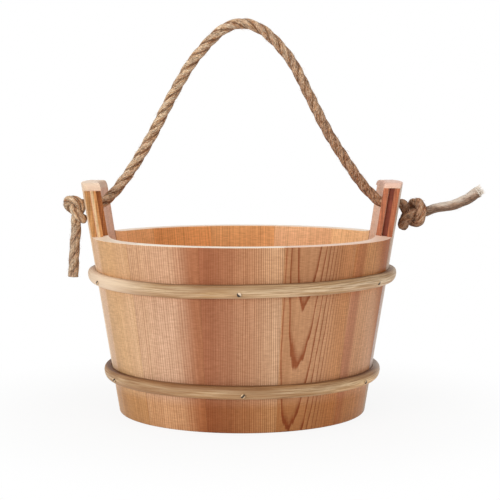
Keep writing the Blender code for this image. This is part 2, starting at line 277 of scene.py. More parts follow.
@dataclass(frozen=True)
class WoodFinish:
    """Planed softwood of one board, ringed about a pith line of its own.

    The board's coordinates are metres across, into the board from its face, and up. A pair of a size or a
    share is where an effect starts and where it is full.
    """

    # Year rings: the pith line at the floor, how it leans, the rings' spacing and how evenly they run.
    pith: Pair
    lean: Pair = (0.0, 0.0)
    ring: float = 2.6 * MM
    tighten: float = 0.0
    uneven: float = 2.0
    onset: float = 0.38
    contrast: float = 0.7
    wander: float = 2.5 * MM
    ripple: float = 0.9 * MM
    fade_from: float = 9.0
    fade_run: float = 18.0 * MM
    # Colours of the faces: between the rings, in them, at both flanks, in streaks of heartwood and in painted
    # strips of reflection, and on the inside.
    early: Colour = linear(206, 156, 120)
    late: Colour = linear(156, 98, 64)
    flanks: tuple[Colour, Colour] | None = None
    flank_run: Pair = (2.0 * MM, 30.0 * MM)
    skew: float = 0.0
    skew_about: float = 0.1
    bands: tuple[tuple[float, float, Colour, float], ...] = ()
    stray: float = 14.0 * MM
    back: Colour | None = None
    back_depth: Pair = (6.0 * MM, 10.0 * MM)
    # Tints below the rim and at the foot.
    crest: Colour = (0.98, 0.93, 0.87)
    crest_height: Pair = (0.112, 0.132)
    foot: Colour = (0.76, 0.62, 0.44)
    foot_height: Pair = (34.0 * MM, 20.0 * MM)
    # Cuts: end grain on top, the milled edge before and behind its groove, the groove and the tongue. Behind
    # the groove and in it, the cut wood is painted darker as shade.
    rim: Colour = linear(246, 228, 208)
    edge: Colour = linear(190, 140, 90)
    # The edge behind the groove and the groove itself are painted darker: painted shade of a deeper rebate
    # and of a recess.
    inside: Colour = linear(170, 105, 60)
    inside_depth: Pair = (9.4 * MM, 10.2 * MM)
    groove: Colour = linear(152, 80, 50)
    groove_swing: Pair = (0.262, 0.250)
    tip: Colour = linear(228, 192, 148)
    tip_in: Colour = linear(204, 142, 88)
    tip_depth: Pair = (7.0 * MM, 7.8 * MM)
    tip_swing: Pair = (0.276, 0.286)
    cap_from: float = 9.0
    # The board itself: its own place in the noise, its outer radius at the floor, the wall's slope.
    seed: float = 0.0
    face: float = 0.0
    slope: float = 0.0
    lying: bool = False
    shine: float = 0.12
    fibre_relief: float = 0.07 * MM
    line_relief: float = 0.03 * MM

    def make(self, name: str) -> bpy.types.Material:
        """Lay out the wood's nodes.

        Args:
            name: Name of the material.

        Returns:
            The material.
        """
        sheet = Sheet(name)
        texture = sheet.node("TexCoord").outputs
        x, y, z = sheet.split(texture["Object"])
        if self.lying:
            y, z = z, y
        depth = sheet.math("ADD", sheet.scale(z, self.slope, y), self.face)
        shift = (self.seed, self.seed * 0.37, self.seed * 1.9)
        board = sheet.vector("ADD", sheet.join(x, depth, z), shift)
        line, strong = self.lines(sheet, board, self.radius(sheet, board, x, depth, z))
        cloud = sheet.noise(board, (26.0, 26.0, 8.0), 3.0)
        streak = sheet.noise(board, (300.0, 300.0, 5.0), 3.0)
        fibre = sheet.noise(board, (1500.0, 1500.0, 26.0), 3.0)
        chatter = sheet.noise(board, (170.0, 170.0, 900.0))
        base = self.ground(sheet, board, x, z)
        if self.back is not None:
            base = sheet.paint(base, self.back, sheet.step(depth, *self.back_depth))
        base = sheet.paint(base, self.late, strong)
        swings = ((cloud, 0.36), (streak, 0.38), (fibre, 0.46), (chatter, 0.50))
        tone = sheet.times(*(sheet.scale(mark, swing, 1.0 - swing / 2.0) for mark, swing in swings))
        warm = sheet.join(tone, sheet.math("POWER", tone, 1.25), sheet.math("POWER", tone, 1.5))
        base = sheet.stain(base, warm)
        if not self.lying:
            base = sheet.wash(base, self.foot, sheet.step(z, *self.foot_height))
            base = sheet.wash(base, self.crest, sheet.step(z, *self.crest_height))
            base = self.cuts(sheet, base, texture["Normal"], (x, y, z), warm)
        rough = sheet.scale(line, -0.06, sheet.scale(fibre, 0.20, 0.34))
        sheet.put(Base_Color=base, Roughness=rough, Specular_IOR_Level=self.shine)
        sheet.put(Normal=sheet.bump(line, self.line_relief, sheet.bump(fibre, self.fibre_relief)))
        return sheet.owner

    def ground(self, sheet: Sheet, board: Socket, x: Socket, z: Socket) -> Socket | Colour:
        """Colour the early wood across the board, with its flanks, its streaks of heartwood and its painted
        strips of reflection.

        Args:
            sheet: Sheet of the material.
            board: The board's own coordinates.
            x: Metres across.
            z: Metres up.

        Returns:
            The colour between the rings.
        """
        across = sheet.scale(sheet.sway(board, (30.0, 30.0, 6.0)), self.stray, x)
        base = self.early
        if self.flanks is not None:
            side = sheet.scale(sheet.less(z, self.skew_about), self.skew, across)
            start, full = self.flank_run
            base = sheet.paint(base, self.flanks[0], sheet.step(side, -start, -full))
            base = sheet.paint(base, self.flanks[1], sheet.step(side, start, full))
        # Streaks of heartwood, and pale strips of painted reflection where the board is seen edge-on.
        for middle, half, colour, share in self.bands:
            away = sheet.positive(sheet.less(across, middle))
            base = sheet.paint(base, colour, sheet.step(away, half, half * 0.3), share)
        return base

    def radius(self, sheet: Sheet, board: Socket, x: Socket, depth: Socket, z: Socket) -> Socket:
        """Measure the distance from the pith line, with the trunk's wander.

        Args:
            sheet: Sheet of the material.
            board: The board's own coordinates.
            x: Metres across.
            depth: Metres into the board.
            z: Metres up.

        Returns:
            The distance in metres.
        """
        across = sheet.less(sheet.scale(z, -self.lean[0], x), self.pith[0])
        into = sheet.less(sheet.scale(z, -self.lean[1], depth), self.pith[1])
        wave = sheet.sway(board, (14.0, 14.0, 5.0))
        return sheet.scale(wave, self.wander * 2.0, sheet.span(across, into))

    def lines(self, sheet: Sheet, board: Socket, radius: Socket) -> tuple[Socket, Socket]:
        """Draw the year rings.

        Args:
            sheet: Sheet of the material.
            board: The board's own coordinates.
            radius: Distance from the pith.

        Returns:
            The line of late wood from 0 to 1, and the share of its colour.
        """
        ripple = sheet.sway(board, (170.0, 170.0, 20.0), 5.0)
        count = sheet.math("DIVIDE", sheet.scale(ripple, self.ripple, radius), self.ring)
        count = sheet.math("POWER", count, 1.0 + self.tighten)
        trunk = sheet.join(radius, self.seed, 0.0)
        width = sheet.noise(trunk, (170.0, 1.0, 1.0), 3.0)
        phase = sheet.math("FRACT", sheet.scale(width, self.uneven, count))
        half = 0.74 * self.onset + 0.31 if self.onset > 0.5 else 0.74
        stops = ((0.0, 0.0), (self.onset, 0.10), (half, 0.52), (0.90, 1.0), (0.955, 0.92), (1.0, 0.0))
        line = sheet.ramp(phase, stops)
        share = sheet.scale(sheet.noise(trunk, (120.0, 1.0, 1.0)), 0.9, self.contrast - 0.45)
        faded = sheet.step(radius, self.fade_from, self.fade_from + self.fade_run)
        return line, sheet.times(line, share, sheet.scale(faded, -0.5, 1.0))

    def cuts(
        self, sheet: Sheet, base: Socket, normal: Socket, place: Sequence[Socket], warm: Socket
    ) -> Socket:
        """Colour the sanded rim and the milled edges, which show end grain and newly cut wood, painted darker
        as shade in the groove and behind it.

        Args:
            sheet: Sheet of the material.
            base: Colour of the faces.
            normal: Normal in the board's frame.
            place: The board's coordinates.
            warm: Light and dark of the fibres, warmer where dark.

        Returns:
            The colour with its cuts.
        """
        x, y, z = place
        side, _, rise = sheet.split(normal)
        swing = sheet.positive(sheet.math("DIVIDE", x, y))
        depth = sheet.less(sheet.scale(z, self.slope, self.face), sheet.span(x, y))
        tongue = sheet.paint(self.tip, self.tip_in, sheet.step(depth, *self.tip_depth))
        # Behind the groove and in it the cut wood is painted darker: painted shade of the deeper inner rebate
        # and of the groove.
        tone_and_painted_shading = sheet.paint(self.edge, self.inside, sheet.step(depth, *self.inside_depth))
        tone_and_painted_shading = sheet.paint(tone_and_painted_shading, self.groove, sheet.step(swing, *self.groove_swing))
        tone_and_painted_shading = sheet.paint(tone_and_painted_shading, tongue, sheet.step(swing, *self.tip_swing))
        torn = sheet.scale(sheet.noise(sheet.join(x, y, z), (950.0, 950.0, 40.0), 3.0), 1.5, 0.25)
        tone_and_painted_shading = sheet.stain(sheet.stain(tone_and_painted_shading, sheet.join(torn, torn, torn)), warm)
        below = sheet.step(z, self.cap_from + 0.3 * MM, self.cap_from - 0.3 * MM)
        base = sheet.paint(base, tone_and_painted_shading, sheet.step(sheet.positive(side), 0.80, 0.93), below)
        cap = sheet.step(z, self.cap_from - 0.5 * MM, self.cap_from + 1.5 * MM)
        base = sheet.paint(base, self.rim, cap, 0.7)
        return sheet.paint(base, self.rim, sheet.step(rise, 0.45, 0.92), 0.85)


@dataclass(frozen=True)
class CaneFinish:
    """Split cane, its skin streaked along the hoop and browner in patches, with painted shade on its upper
    half, painted light on its lower half and a painted contact shadow along its top edge, and with painted
    light, painted highlights and painted shadows at places along it.

    Places along the hoop are metres round it, anticlockwise from the right ear.
    """

    skin: Colour = linear(222, 194, 158)
    shade: Colour = linear(186, 148, 104)
    brown: Colour = linear(156, 116, 78)
    # Tints of painted shade on the upper half, painted light on the lower half and a painted contact shadow
    # along the top edge.
    above: Colour = (0.80, 0.76, 0.70)
    below: Colour = (1.14, 1.13, 1.13)
    line: Colour = (0.52, 0.44, 0.36)
    # Painted highlights and painted shadows at places along the hoop: where each starts, where it is full and
    # where it ends, its colour and its share.
    ends: tuple[tuple[float, float, float, Colour, float], ...] = ()
    # Painted light on the lower half past a place along the hoop: where it starts, where it is full, and its
    # tint.
    glow: tuple[float, float, Colour] = (0.66, 0.75, (1.40, 1.50, 1.64))
    seed: float = 0.0
    broad_relief: float = 0.40 * MM
    fibre_relief: float = 0.22 * MM

    def make(self, name: str) -> bpy.types.Material:
        """Lay out the cane's nodes.

        Args:
            name: Name of the material.

        Returns:
            The material.
        """
        sheet = Sheet(name)
        lie = sheet.lie(Lie.CANE)
        along, rise, _ = sheet.split(lie)
        lie = sheet.vector("ADD", lie, (self.seed, 0.0, 0.0))
        patch = sheet.noise(lie, (11.0, 90.0, 1.0))
        broad = sheet.noise(lie, (22.0, 520.0, 1.0), 3.0)
        fibre = sheet.noise(lie, (34.0, 1250.0, 1.0), 3.0)
        fleck = sheet.noise(lie, (240.0, 1500.0, 1.0))
        base = sheet.paint(self.skin, self.shade, sheet.step(broad, 0.42, 0.66))
        for mark, low, high, share in (
            (patch, 0.44, 0.70, 0.70), (fibre, 0.44, 0.60, 0.72), (fleck, 0.60, 0.72, 0.45)
        ):
            base = sheet.paint(base, self.brown, sheet.step(mark, low, high), share)
        # Painted shade on the upper half, painted light on the lower half and a painted contact shadow along
        # the top edge.
        for low, high, tint in ((0.0, 5.0, self.above), (0.5, -4.0, self.below), (5.8, 8.6, self.line)):
            base = sheet.wash(base, tint, sheet.step(rise, low * MM, high * MM))
        # Painted light on the lower half, from right of the front round the right side.
        start, full, tint = self.glow
        base = sheet.wash(base, tint, sheet.step(along, start, full), sheet.step(rise, 6.0 * MM, -2.0 * MM))
        # Painted highlights and painted shadows at places along the hoop.
        for start, full, back, tone_and_painted_shading, share in self.ends:
            near = sheet.times(sheet.step(along, start, full), sheet.step(along, back, full))
            base = sheet.paint(base, tone_and_painted_shading, near, share)
        rough = sheet.scale(fibre, 0.25, 0.42)
        sheet.put(Base_Color=base, Roughness=rough, Specular_IOR_Level=0.35)
        sheet.put(Normal=sheet.bump(fibre, self.fibre_relief, sheet.bump(broad, self.broad_relief)))
        return sheet.owner


@dataclass(frozen=True)
class RopeFinish:
    """Three-strand natural-fibre rope, with dark yarns, painted shade between its strands and painted
    highlights on their crowns, painted shade over its right part, paler where it is worn, and on its worn
    ends painted light on top and painted shade below.
    """

    # Colours: the crowns; dark yarns, also painting the shade between strands; pale fibres, also painting the
    # crowns' highlight; reddish patches; painted shade over the right part; worn rope; painted light on top
    # of the worn ends, also the pale frayed fibres.
    crown: Colour = linear(226, 182, 138)
    dark_yarn_and_shade: Colour = linear(112, 72, 44)
    straw_and_highlight: Colour = linear(250, 228, 198)
    rust: Colour = linear(194, 138, 98)
    right_side_shade: Colour = (0.72, 0.61, 0.58)
    worn: Colour = linear(200, 180, 164)
    top_light_and_fray: Colour = linear(240, 228, 214)
    lay: float = 45.0 * MM
    yarn_relief: float = 1.4 * MM
    hair_relief: float = 1.1 * MM

    def make(self, name: str) -> bpy.types.Material:
        """Lay out the rope's nodes.

        Args:
            name: Name of the material.

        Returns:
            The material.
        """
        sheet = Sheet(name)
        around, along, form = sheet.split(sheet.lie(Lie.ROPE))
        height = sheet.math("FRACT", form)
        mark = sheet.math("DIVIDE", sheet.math("FLOOR", form), 10.0)
        wear = sheet.math("MINIMUM", mark, 1.0)
        _, _, rise = sheet.split(sheet.node("TexCoord").outputs["Normal"])
        ring = sheet.times(sheet.scale(along, -1.0 / self.lay, around), TURN)
        reach = sheet.join(sheet.math("COSINE", ring), sheet.math("SINE", ring), along)
        yarn = sheet.noise(reach, (4.6, 4.6, 260.0))
        hair = sheet.noise(reach, (7.5, 7.5, 330.0))
        speck = sheet.noise(reach, (5.5, 5.5, 560.0))
        patch = sheet.noise(reach, (1.1, 1.1, 70.0))
        # The painted highlight on the crowns and the painted shade between strands are strongest on the left
        # part of the rope.
        far = sheet.step(along, 0.22, 0.46)
        base = sheet.paint(self.crown, self.rust, sheet.step(patch, 0.40, 0.66))
        for value, low, high, share, colour in (
            (yarn, 0.53, 0.38, 0.78, self.dark_yarn_and_shade),
            (hair, 0.48, 0.60, 0.82, self.straw_and_highlight),
            (speck, 0.56, 0.64, 0.70, self.dark_yarn_and_shade),
            # Painted highlight on the strands' crowns, and painted shade between the strands.
            (height, 0.70, 1.0, sheet.scale(far, -0.28, 0.28), self.straw_and_highlight),
            (height, 0.56, 0.06, sheet.scale(far, -0.40, 0.72), self.dark_yarn_and_shade),
        ):
            base = sheet.paint(base, colour, sheet.step(value, low, high), share)
        # Painted shade over the right part of the rope, which the right end carries on.
        base = sheet.wash(base, self.right_side_shade, sheet.step(along, 0.12, 0.44))
        base = sheet.paint(base, self.worn, wear, 0.5)
        # On the worn ends: painted light on top and painted shade below.
        base = sheet.paint(base, self.top_light_and_fray, wear, sheet.step(rise, 0.0, 0.8), 0.75)
        base = sheet.paint(base, self.dark_yarn_and_shade, wear, sheet.step(rise, 0.4, -0.5), 0.6)
        base = sheet.paint(base, self.top_light_and_fray, sheet.step(mark, FRAYED - 0.8, FRAYED - 0.2), 0.9)
        sheet.put(Base_Color=base, Roughness=0.88, Specular_IOR_Level=0.15)
        sheet.put(Sheen_Weight=0.10, Sheen_Roughness=0.5)
        sheet.put(Normal=sheet.bump(hair, self.hair_relief, sheet.bump(yarn, self.yarn_relief)))
        return sheet.owner


@dataclass(frozen=True)
class NailFinish:
    """Dull steel nail head with a dark crescent of painted shadow, or a dark slit where it is bent over."""

    bright: Colour = linear(222, 200, 174)
    # Colour of the dark mark: the painted shadow of the crescent, or the slit.
    dull: Colour = linear(46, 32, 22)
    mark_offset: float = -0.3 * MM
    rag: float = 1.6 * MM
    blur: float = 0.5 * MM
    relief: float = 0.08 * MM
    bent: bool = False

    def make(self, name: str) -> bpy.types.Material:
        """Lay out the nail's nodes.

        Args:
            name: Name of the material.

        Returns:
            The material.
        """
        sheet = Sheet(name)
        place = sheet.node("TexCoord").outputs["Object"]
        mark = sheet.noise(place, (900.0, 900.0, 900.0), 3.0)
        down, across, _ = sheet.split(place)
        slant = sheet.times(sheet.math("ADD" if self.bent else "SUBTRACT", down, across), math.sqrt(0.5))
        slant = sheet.scale(sheet.less(mark, 0.5), self.rag, slant)
        if self.bent:
            slant = sheet.times(sheet.positive(slant), -1.0)
        # The dark mark: a crescent of painted shadow on one side of the head, or a slit across a bent head.
        rust = sheet.step(slant, self.mark_offset, self.mark_offset + self.blur)
        rough = sheet.scale(mark, 0.3, 0.35)
        sheet.put(Base_Color=sheet.paint(self.bright, self.dull, rust), Metallic=0.25, Roughness=rough)
        sheet.put(Normal=sheet.bump(mark, self.relief))
        return sheet.owner


def link(name: str, data: bpy.types.ID) -> bpy.types.Object:
    """Put a mesh, lamp or camera into the scene.

    Args:
        name: Name of the object.
        data: What the object shows.

    Returns:
        The object.
    """
    obj = bpy.data.objects.new(name, data)
    bpy.context.scene.collection.objects.link(obj)
    return obj


def shade_smooth(mesh: bpy.types.Mesh, crease: float = CREASE) -> None:
    """Shade a mesh smooth, with its creases sharp."""
    mesh.polygons.foreach_set("use_smooth", [True] * len(mesh.polygons))
    mesh.set_sharp_from_angle(angle=math.radians(crease))


def add_mesh(
    name: str, points: Sequence[Sequence[float]], faces: Sequence[Face], crease: float = CREASE
) -> bpy.types.Object:
    """Make a mesh object with smooth faces and sharp creases.

    Args:
        name: Name of the object.
        points: Corner positions in metres.
        faces: Corner numbers of each face, anticlockwise from outside.
        crease: Angle in degrees above which an edge stays sharp.

    Returns:
        The object, linked to the scene.
    """
    mesh = bpy.data.meshes.new(name)
    mesh.from_pydata([tuple(float(c) for c in p) for p in points], [], faces)
    mesh.validate()
    shade_smooth(mesh, crease)
    return link(name, mesh)


def add_solid(name: str, points: Sequence[Sequence[float]], faces: Sequence[Face]) -> bpy.types.Object:
    """Make a mesh object and merge the points that coincide.

    Args:
        name: Name of the object.
        points: Corner positions in metres.
        faces: Corner numbers of each face.

    Returns:
        The object, linked to the scene.
    """
    obj = add_mesh(name, points, faces)
    bm = bmesh.new()
    bm.from_mesh(obj.data)
    bmesh.ops.remove_doubles(bm, verts=bm.verts, dist=1e-6)
    bmesh.ops.recalc_face_normals(bm, faces=bm.faces)
    bm.to_mesh(obj.data)
    bm.free()
    shade_smooth(obj.data)
    return obj


def dress(obj: bpy.types.Object, material: bpy.types.Material, body: Body, slot: str, *nodes: str) -> None:
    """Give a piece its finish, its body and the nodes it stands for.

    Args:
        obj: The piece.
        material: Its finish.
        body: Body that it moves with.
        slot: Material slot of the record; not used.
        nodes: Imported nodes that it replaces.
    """
    obj.data.materials.clear()
    obj.data.materials.append(material)
    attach(obj, body.value)
    for node in nodes:
        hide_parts(node)


def carry(obj: bpy.types.Object, lie: Lie, values: Sequence[Sequence[float]]) -> None:
    """Store a lie of fibre, three numbers a point, on a mesh."""
    layer = obj.data.attributes.new(name=lie.value, type="FLOAT_VECTOR", domain="POINT")
    layer.data.foreach_set("vector", np.asarray(values, dtype=np.float32).ravel())


def carve(obj: bpy.types.Object, cutter: bpy.types.Object) -> None:
    """Cut one mesh out of another and drop the cutter.

    Args:
        obj: The piece that is cut.
        cutter: The shape that is taken out.
    """
    modifier = obj.modifiers.new("carve", "BOOLEAN")
    modifier.operation = "DIFFERENCE"
    modifier.solver = "EXACT"
    modifier.object = cutter
    graph = bpy.context.evaluated_depsgraph_get()
    cut = bpy.data.meshes.new_from_object(obj.evaluated_get(graph))
    obj.modifiers.clear()
    obj.data = cut
    bpy.data.objects.remove(cutter, do_unlink=True)
    shade_smooth(cut)


def tube(rows: int, count: int, first: int = 0, turned: bool = False) -> list[Face]:
    """Number the faces of a closed tube of point rows with flat ends.

    Args:
        rows: Number of rows.
        count: Points in a row, anticlockwise seen from the last row's side.
        first: Number of the first point.
        turned: Whether the rows run clockwise.

    Returns:
        The faces, the two ends last.
    """
    sides = []
    for low in range(first, first + (rows - 1) * count, count):
        for k in range(count):
            n = (k + 1) % count
            sides.append((low + k, low + n, low + count + n, low + count + k))
    top = first + (rows - 1) * count
    ends = [tuple(range(first + count - 1, first - 1, -1)), tuple(range(top, top + count))]
    if turned:
        return [(a, d, c, b) for a, b, c, d in sides] + [end[::-1] for end in ends]
    return sides + ends


def skin(rings: Sequence[Sequence[Vector]]) -> tuple[list[Vector], list[Face]]:
    """List the points and faces of a closed skin over outlines of equal length."""
    return [point for ring in rings for point in ring], tube(len(rings), len(rings[0]))


def circle(steps: int) -> list[Pair]:
    """List the cosine and sine of even steps round a circle."""
    return [(math.cos(TURN * k / steps), math.sin(TURN * k / steps)) for k in range(steps)]


def quarter(steps: int) -> list[float]:
    """List the angles of even steps over a quarter turn."""
    return [math.pi / 2.0 * k / steps for k in range(steps + 1)]


class Level(NamedTuple):
    """One height of a stave.

    The faces draw in by a bevel and, inside, by the croze. At the top of an ear the tongue and groove are
    capped, and both edges draw in by an inset.
    """

    height: float
    bevel: float = 0.0
    croze: float = 0.0
    capped: bool = False
    inset: float = 0.0


@dataclass
class StaveWall:
    """Tapered wall of tongued staves, two of them carried up as ears."""

    rim_radius: float = 140.0 * MM
    base_radius: float = 114.0 * MM
    height: float = 162.0 * MM
    wall: float = 15.0 * MM
    staves: int = 12
    seam: float = 0.06 * MM
    tongue: float = 4.0 * MM
    play: float = 0.2 * MM
    rim_round: float = 0.6 * MM
    foot_round: float = 1.2 * MM
    edge_round: float = 0.14 * MM
    ear_rise: float = 50.0 * MM
    ear_corner: float = 7.0 * MM
    ear_caps: Pair = (7.4 * MM, 5.0 * MM)
    ear_round: float = 1.6 * MM
    sweep_rise: float = 2.4 * MM
    sweep_reach: float = 10.0 * MM
    sweep_outside: float = 0.3
    hole: float = 15.5 * MM
    hole_rise: float = 29.0 * MM
    croze: float = 4.0 * MM
    croze_low: float = 11.7 * MM
    croze_high: float = 24.3 * MM
    arc_steps: int = 18
    foot_steps: int = 3
    rim_steps: int = 4
    corner_steps: int = 12
    hole_steps: int = 48
    grains: dict[int, WoodFinish] = field(default_factory=dict)

    @property
    def slope(self) -> float:
        """Outward run of the wall per metre of height."""
        return (self.rim_radius - self.base_radius) / self.height

    @property
    def hole_height(self) -> float:
        """Height of the rope holes."""
        return self.height + self.hole_rise

    def radius(self, height: float) -> float:
        """Outer radius of the wall at a height."""
        return self.base_radius + self.slope * height

    def outline(self, level: Level) -> list[Vector]:
        """Trace a stave across at one height, in its own frame.

        Args:
            level: The height and what the outline does there.

        Returns:
            Points anticlockwise seen from above.
        """
        radius = self.radius(level.height)
        bevel, ease = level.bevel, self.edge_round
        edge = math.pi / self.staves - self.seam / 2.0 / radius
        tip = edge + self.tongue / radius
        slot = -edge if level.capped else -edge + (self.tongue + self.play) / radius
        out, back = self.wall / 3.0, self.wall * 2.0 / 3.0
        inner = self.wall - max(bevel, level.croze)
        floor = self.wall - self.croze
        flat = edge - ease / radius
        arc = [-flat + 2.0 * flat * k / self.arc_steps for k in range(self.arc_steps + 1)]
        drop = bevel + ease
        near, soft = edge - 0.3 * ease / radius, bevel + 0.3 * ease
        trace = [(-edge, drop), (-near, soft)]
        trace += [(angle, bevel) for angle in arc]
        trace += [(near, soft), (edge, drop)]
        if level.capped:
            trace += [(tip, drop), (tip, out), (tip, back), (tip, inner), (edge, inner)]
        else:
            trace += [(edge, out), (tip, out), (tip, back), (edge, back), (edge, floor)]
        trace += [(edge, inner)] + [(angle, inner) for angle in reversed(arc)] + [(-edge, inner)]
        trace += [(-edge, floor), (-edge, back + self.play), (slot, back + self.play)]
        trace += [(slot, out - self.play), (-edge, out - self.play)]
        middle, half = (tip - edge) / 2.0, (tip + edge) / 2.0
        shrink = (half - level.inset / radius) / half
        points = []
        for angle, depth in trace:
            turn = middle + (angle - middle) * shrink
            reach = radius - depth
            points.append(Vector((reach * math.sin(turn), -reach * math.cos(turn), level.height)))
        return points

    def lower_levels(self) -> list[Level]:
        """List the heights from the foot to the top of the croze.

        Returns:
            Levels from below.
        """
        ease, low, high = self.foot_round, self.croze_low, self.croze_high
        turns = quarter(self.foot_steps)
        levels = [Level(ease * (1.0 - math.cos(turn)), ease * (1.0 - math.sin(turn))) for turn in turns]
        return levels + [Level(low), Level(low, croze=self.croze), Level(high, croze=self.croze), Level(high)]

    def plain_levels(self) -> list[Level]:
        """List the heights of a plain stave.

        Returns:
            Levels from the foot to the rim.
        """
        ease = self.rim_round
        levels = self.lower_levels()
        for turn in quarter(self.rim_steps):
            levels.append(Level(self.height - ease + ease * math.sin(turn), ease * (1.0 - math.cos(turn))))
        return levels

    def ear_inset(self, height: float) -> float:
        """How far an ear's edges draw in at a height, round its top corners."""
        rise = max(0.0, height - self.height - self.ear_rise + self.ear_corner)
        return self.ear_corner - math.sqrt(max(0.0, self.ear_corner**2 - rise**2))

    def ear_levels(self, cap: float) -> list[Level]:
        """List the heights of an ear stave.

        Args:
            cap: Height of the full-width cap that stops the tongue and groove.

        Returns:
            Levels as the outline takes them.
        """
        top = self.height + self.ear_rise
        stop, ease = top - cap, self.ear_round
        arc = [top - self.ear_corner * (1.0 - math.sin(turn)) for turn in quarter(self.corner_steps)]
        levels = self.lower_levels()
        for height in [h for h in arc if h < stop - self.play] + [stop]:
            levels.append(Level(height, inset=self.ear_inset(height)))
        for height in [stop] + [h for h in arc if h > stop + self.play]:
            near = max(0.0, height - (top - ease)) / ease
            bevel = ease * (1.0 - math.sqrt(max(0.0, 1.0 - near * near)))
            levels.append(Level(height, bevel, capped=True, inset=self.ear_inset(height)))
        return levels

    def sweep(self, points: Sequence[Vector], toward: float) -> list[Vector]:
        """Raise a plain stave's rim where it meets an ear, most at the inner edge.

        Args:
            points: The stave's points in its own frame.
            toward: Sign of the side that the ear is on.

        Returns:
            The points with the rim swept up.
        """
        edge = math.pi / self.staves
        raised = []
        for point in points:
            rise = 0.0
            if point.z > self.height - 2.0 * self.rim_round:
                reach = math.hypot(point.x, point.y)
                away = (edge - toward * math.atan2(point.x, -point.y)) * reach
                depth = (self.radius(point.z) - reach) / self.wall
                share = self.sweep_outside + (1.0 - self.sweep_outside) * depth
                rise = self.sweep_rise * math.exp(-max(0.0, away) / self.sweep_reach) * share
            raised.append(point + Vector((0.0, 0.0, rise)))
        return raised

    def deck(self, faces: list[Face], top: int) -> None:
        """Swap a plain stave's flat top for strips that can follow a swept rim.

        Args:
            faces: The stave's faces, the last of them its top.
            top: Number of the top outline's first point.
        """
        count, steps = len(faces.pop()), self.arc_steps
        inner = steps + 11  # The inner arc's first point, past the outer arc and the tongue.
        for k in range(steps):
            far = top + inner + steps - k
            faces.append((top + 2 + k, top + 3 + k, far - 1, far))
        faces.append(tuple(top + k for k in range(2 + steps, inner + 1)))
        faces.append((*(top + k for k in range(inner + steps, count)), top, top + 1, top + 2))

    def build(self) -> list[bpy.types.Object]:
        """Build and dress every stave.

        Returns:
            The staves, anticlockwise from the right ear.
        """
        made = []
        plain = 0
        left = self.staves // 2
        toward = {1: -1.0, left - 1: 1.0, left + 1: -1.0, self.staves - 1: 1.0}
        for index in range(self.staves):
            ear = {0: Side.RIGHT, left: Side.LEFT}.get(index)
            if ear:
                node, slot = f"ear_stave_{ear.name.lower()}", "ear_wood"
                levels = self.ear_levels(self.ear_caps[ear is Side.RIGHT])
            else:
                plain += 1
                node, slot = f"stave_{plain:02d}", "stave_wood"
                levels = self.plain_levels()
            points, faces = skin([self.outline(level) for level in levels])
            if index in toward:
                self.deck(faces, len(points) - len(points) // len(levels))
                points = self.sweep(points, toward[index])
            obj = add_solid(f"dressed_{node}", points, faces)
            if ear:
                self.bore(obj)
            obj.matrix_world = Matrix.Rotation(TURN * index / self.staves + math.pi / 2.0, 4, "Z")
            dress(obj, self.grains[index].make(f"{node}_wood"), Body.BUCKET, slot, node)
            made.append(obj)
        return made

    def bore(self, ear: bpy.types.Object) -> None:
        """Drill the rope hole through an ear.

        Args:
            ear: The ear stave, still in its own frame.
        """
        half, level = self.hole / 2.0, self.hole_height
        rings = []
        for reach in (-0.5 * self.rim_radius, -2.0 * self.rim_radius):
            rings.append([Vector((half * c, reach, level + half * s)) for c, s in circle(self.hole_steps)])
        carve(ear, add_solid("rope_drill", *skin(rings)))


@dataclass
class BottomBoards:
    """Three boards edge to edge in the croze."""

    wall: StaveWall
    low: float = 12.0 * MM
    high: float = 24.0 * MM
    clearance: float = 0.3 * MM
    count: int = 3
    seam: float = 0.3 * MM
    ease: float = 0.6 * MM
    arc_steps: int = 40

    def build(self) -> list[bpy.types.Object]:
        """Build and dress the boards.

        Returns:
            The boards from left to right.
        """
        reach = self.wall.wall - self.wall.croze + self.clearance
        width = 2.0 * (self.wall.radius(self.low) - reach) / self.count
        low, high, ease = self.low, self.high, self.ease
        made = []
        for index in range(self.count):
            left = (index - self.count / 2.0) * width
            right = left + width - self.seam
            rings = []
            for height, draw in ((low, ease), (low + ease, 0.0), (high - ease, 0.0), (high, ease)):
                rings.append(self.outline(index, left + draw, right - draw, height, reach + draw))
            node = f"bottom_board_{index + 1}"
            obj = add_solid(f"dressed_{node}", *skin(rings))
            grain = WoodFinish(
                pith=(left + width * (0.3 + 0.3 * index), -0.05),
                seed=31.0 + index,
                ring=3.0 * MM,
                early=linear(216, 170, 132),
                late=linear(176, 120, 82),
                lying=True,
            )
            dress(obj, grain.make(f"{node}_wood"), Body.BUCKET, "board_wood", node)
            made.append(obj)
        return made

    def outline(self, index: int, left: float, right: float, height: float, reach: float) -> list[Vector]:
        """Trace one board across at a height.

        Args:
            index: Number of the board from the left.
            left: Left edge.
            right: Right edge.
            height: Height above the floor.
            reach: How far its round edge stays inside the wall's outside.

        Returns:
            Points anticlockwise seen from above.
        """
        radius = self.wall.radius(height) - reach
        start = math.pi if index == 0 else math.acos(left / radius)
        end = 0.0 if index == self.count - 1 else math.acos(right / radius)
        turns = [start + (end - start) * k / self.arc_steps for k in range(self.arc_steps + 1)]
        ring = [Vector((radius * math.cos(t), -radius * math.sin(t), height)) for t in turns]
        return ring + [Vector((radius * math.cos(t), radius * math.sin(t), height)) for t in reversed(turns)]


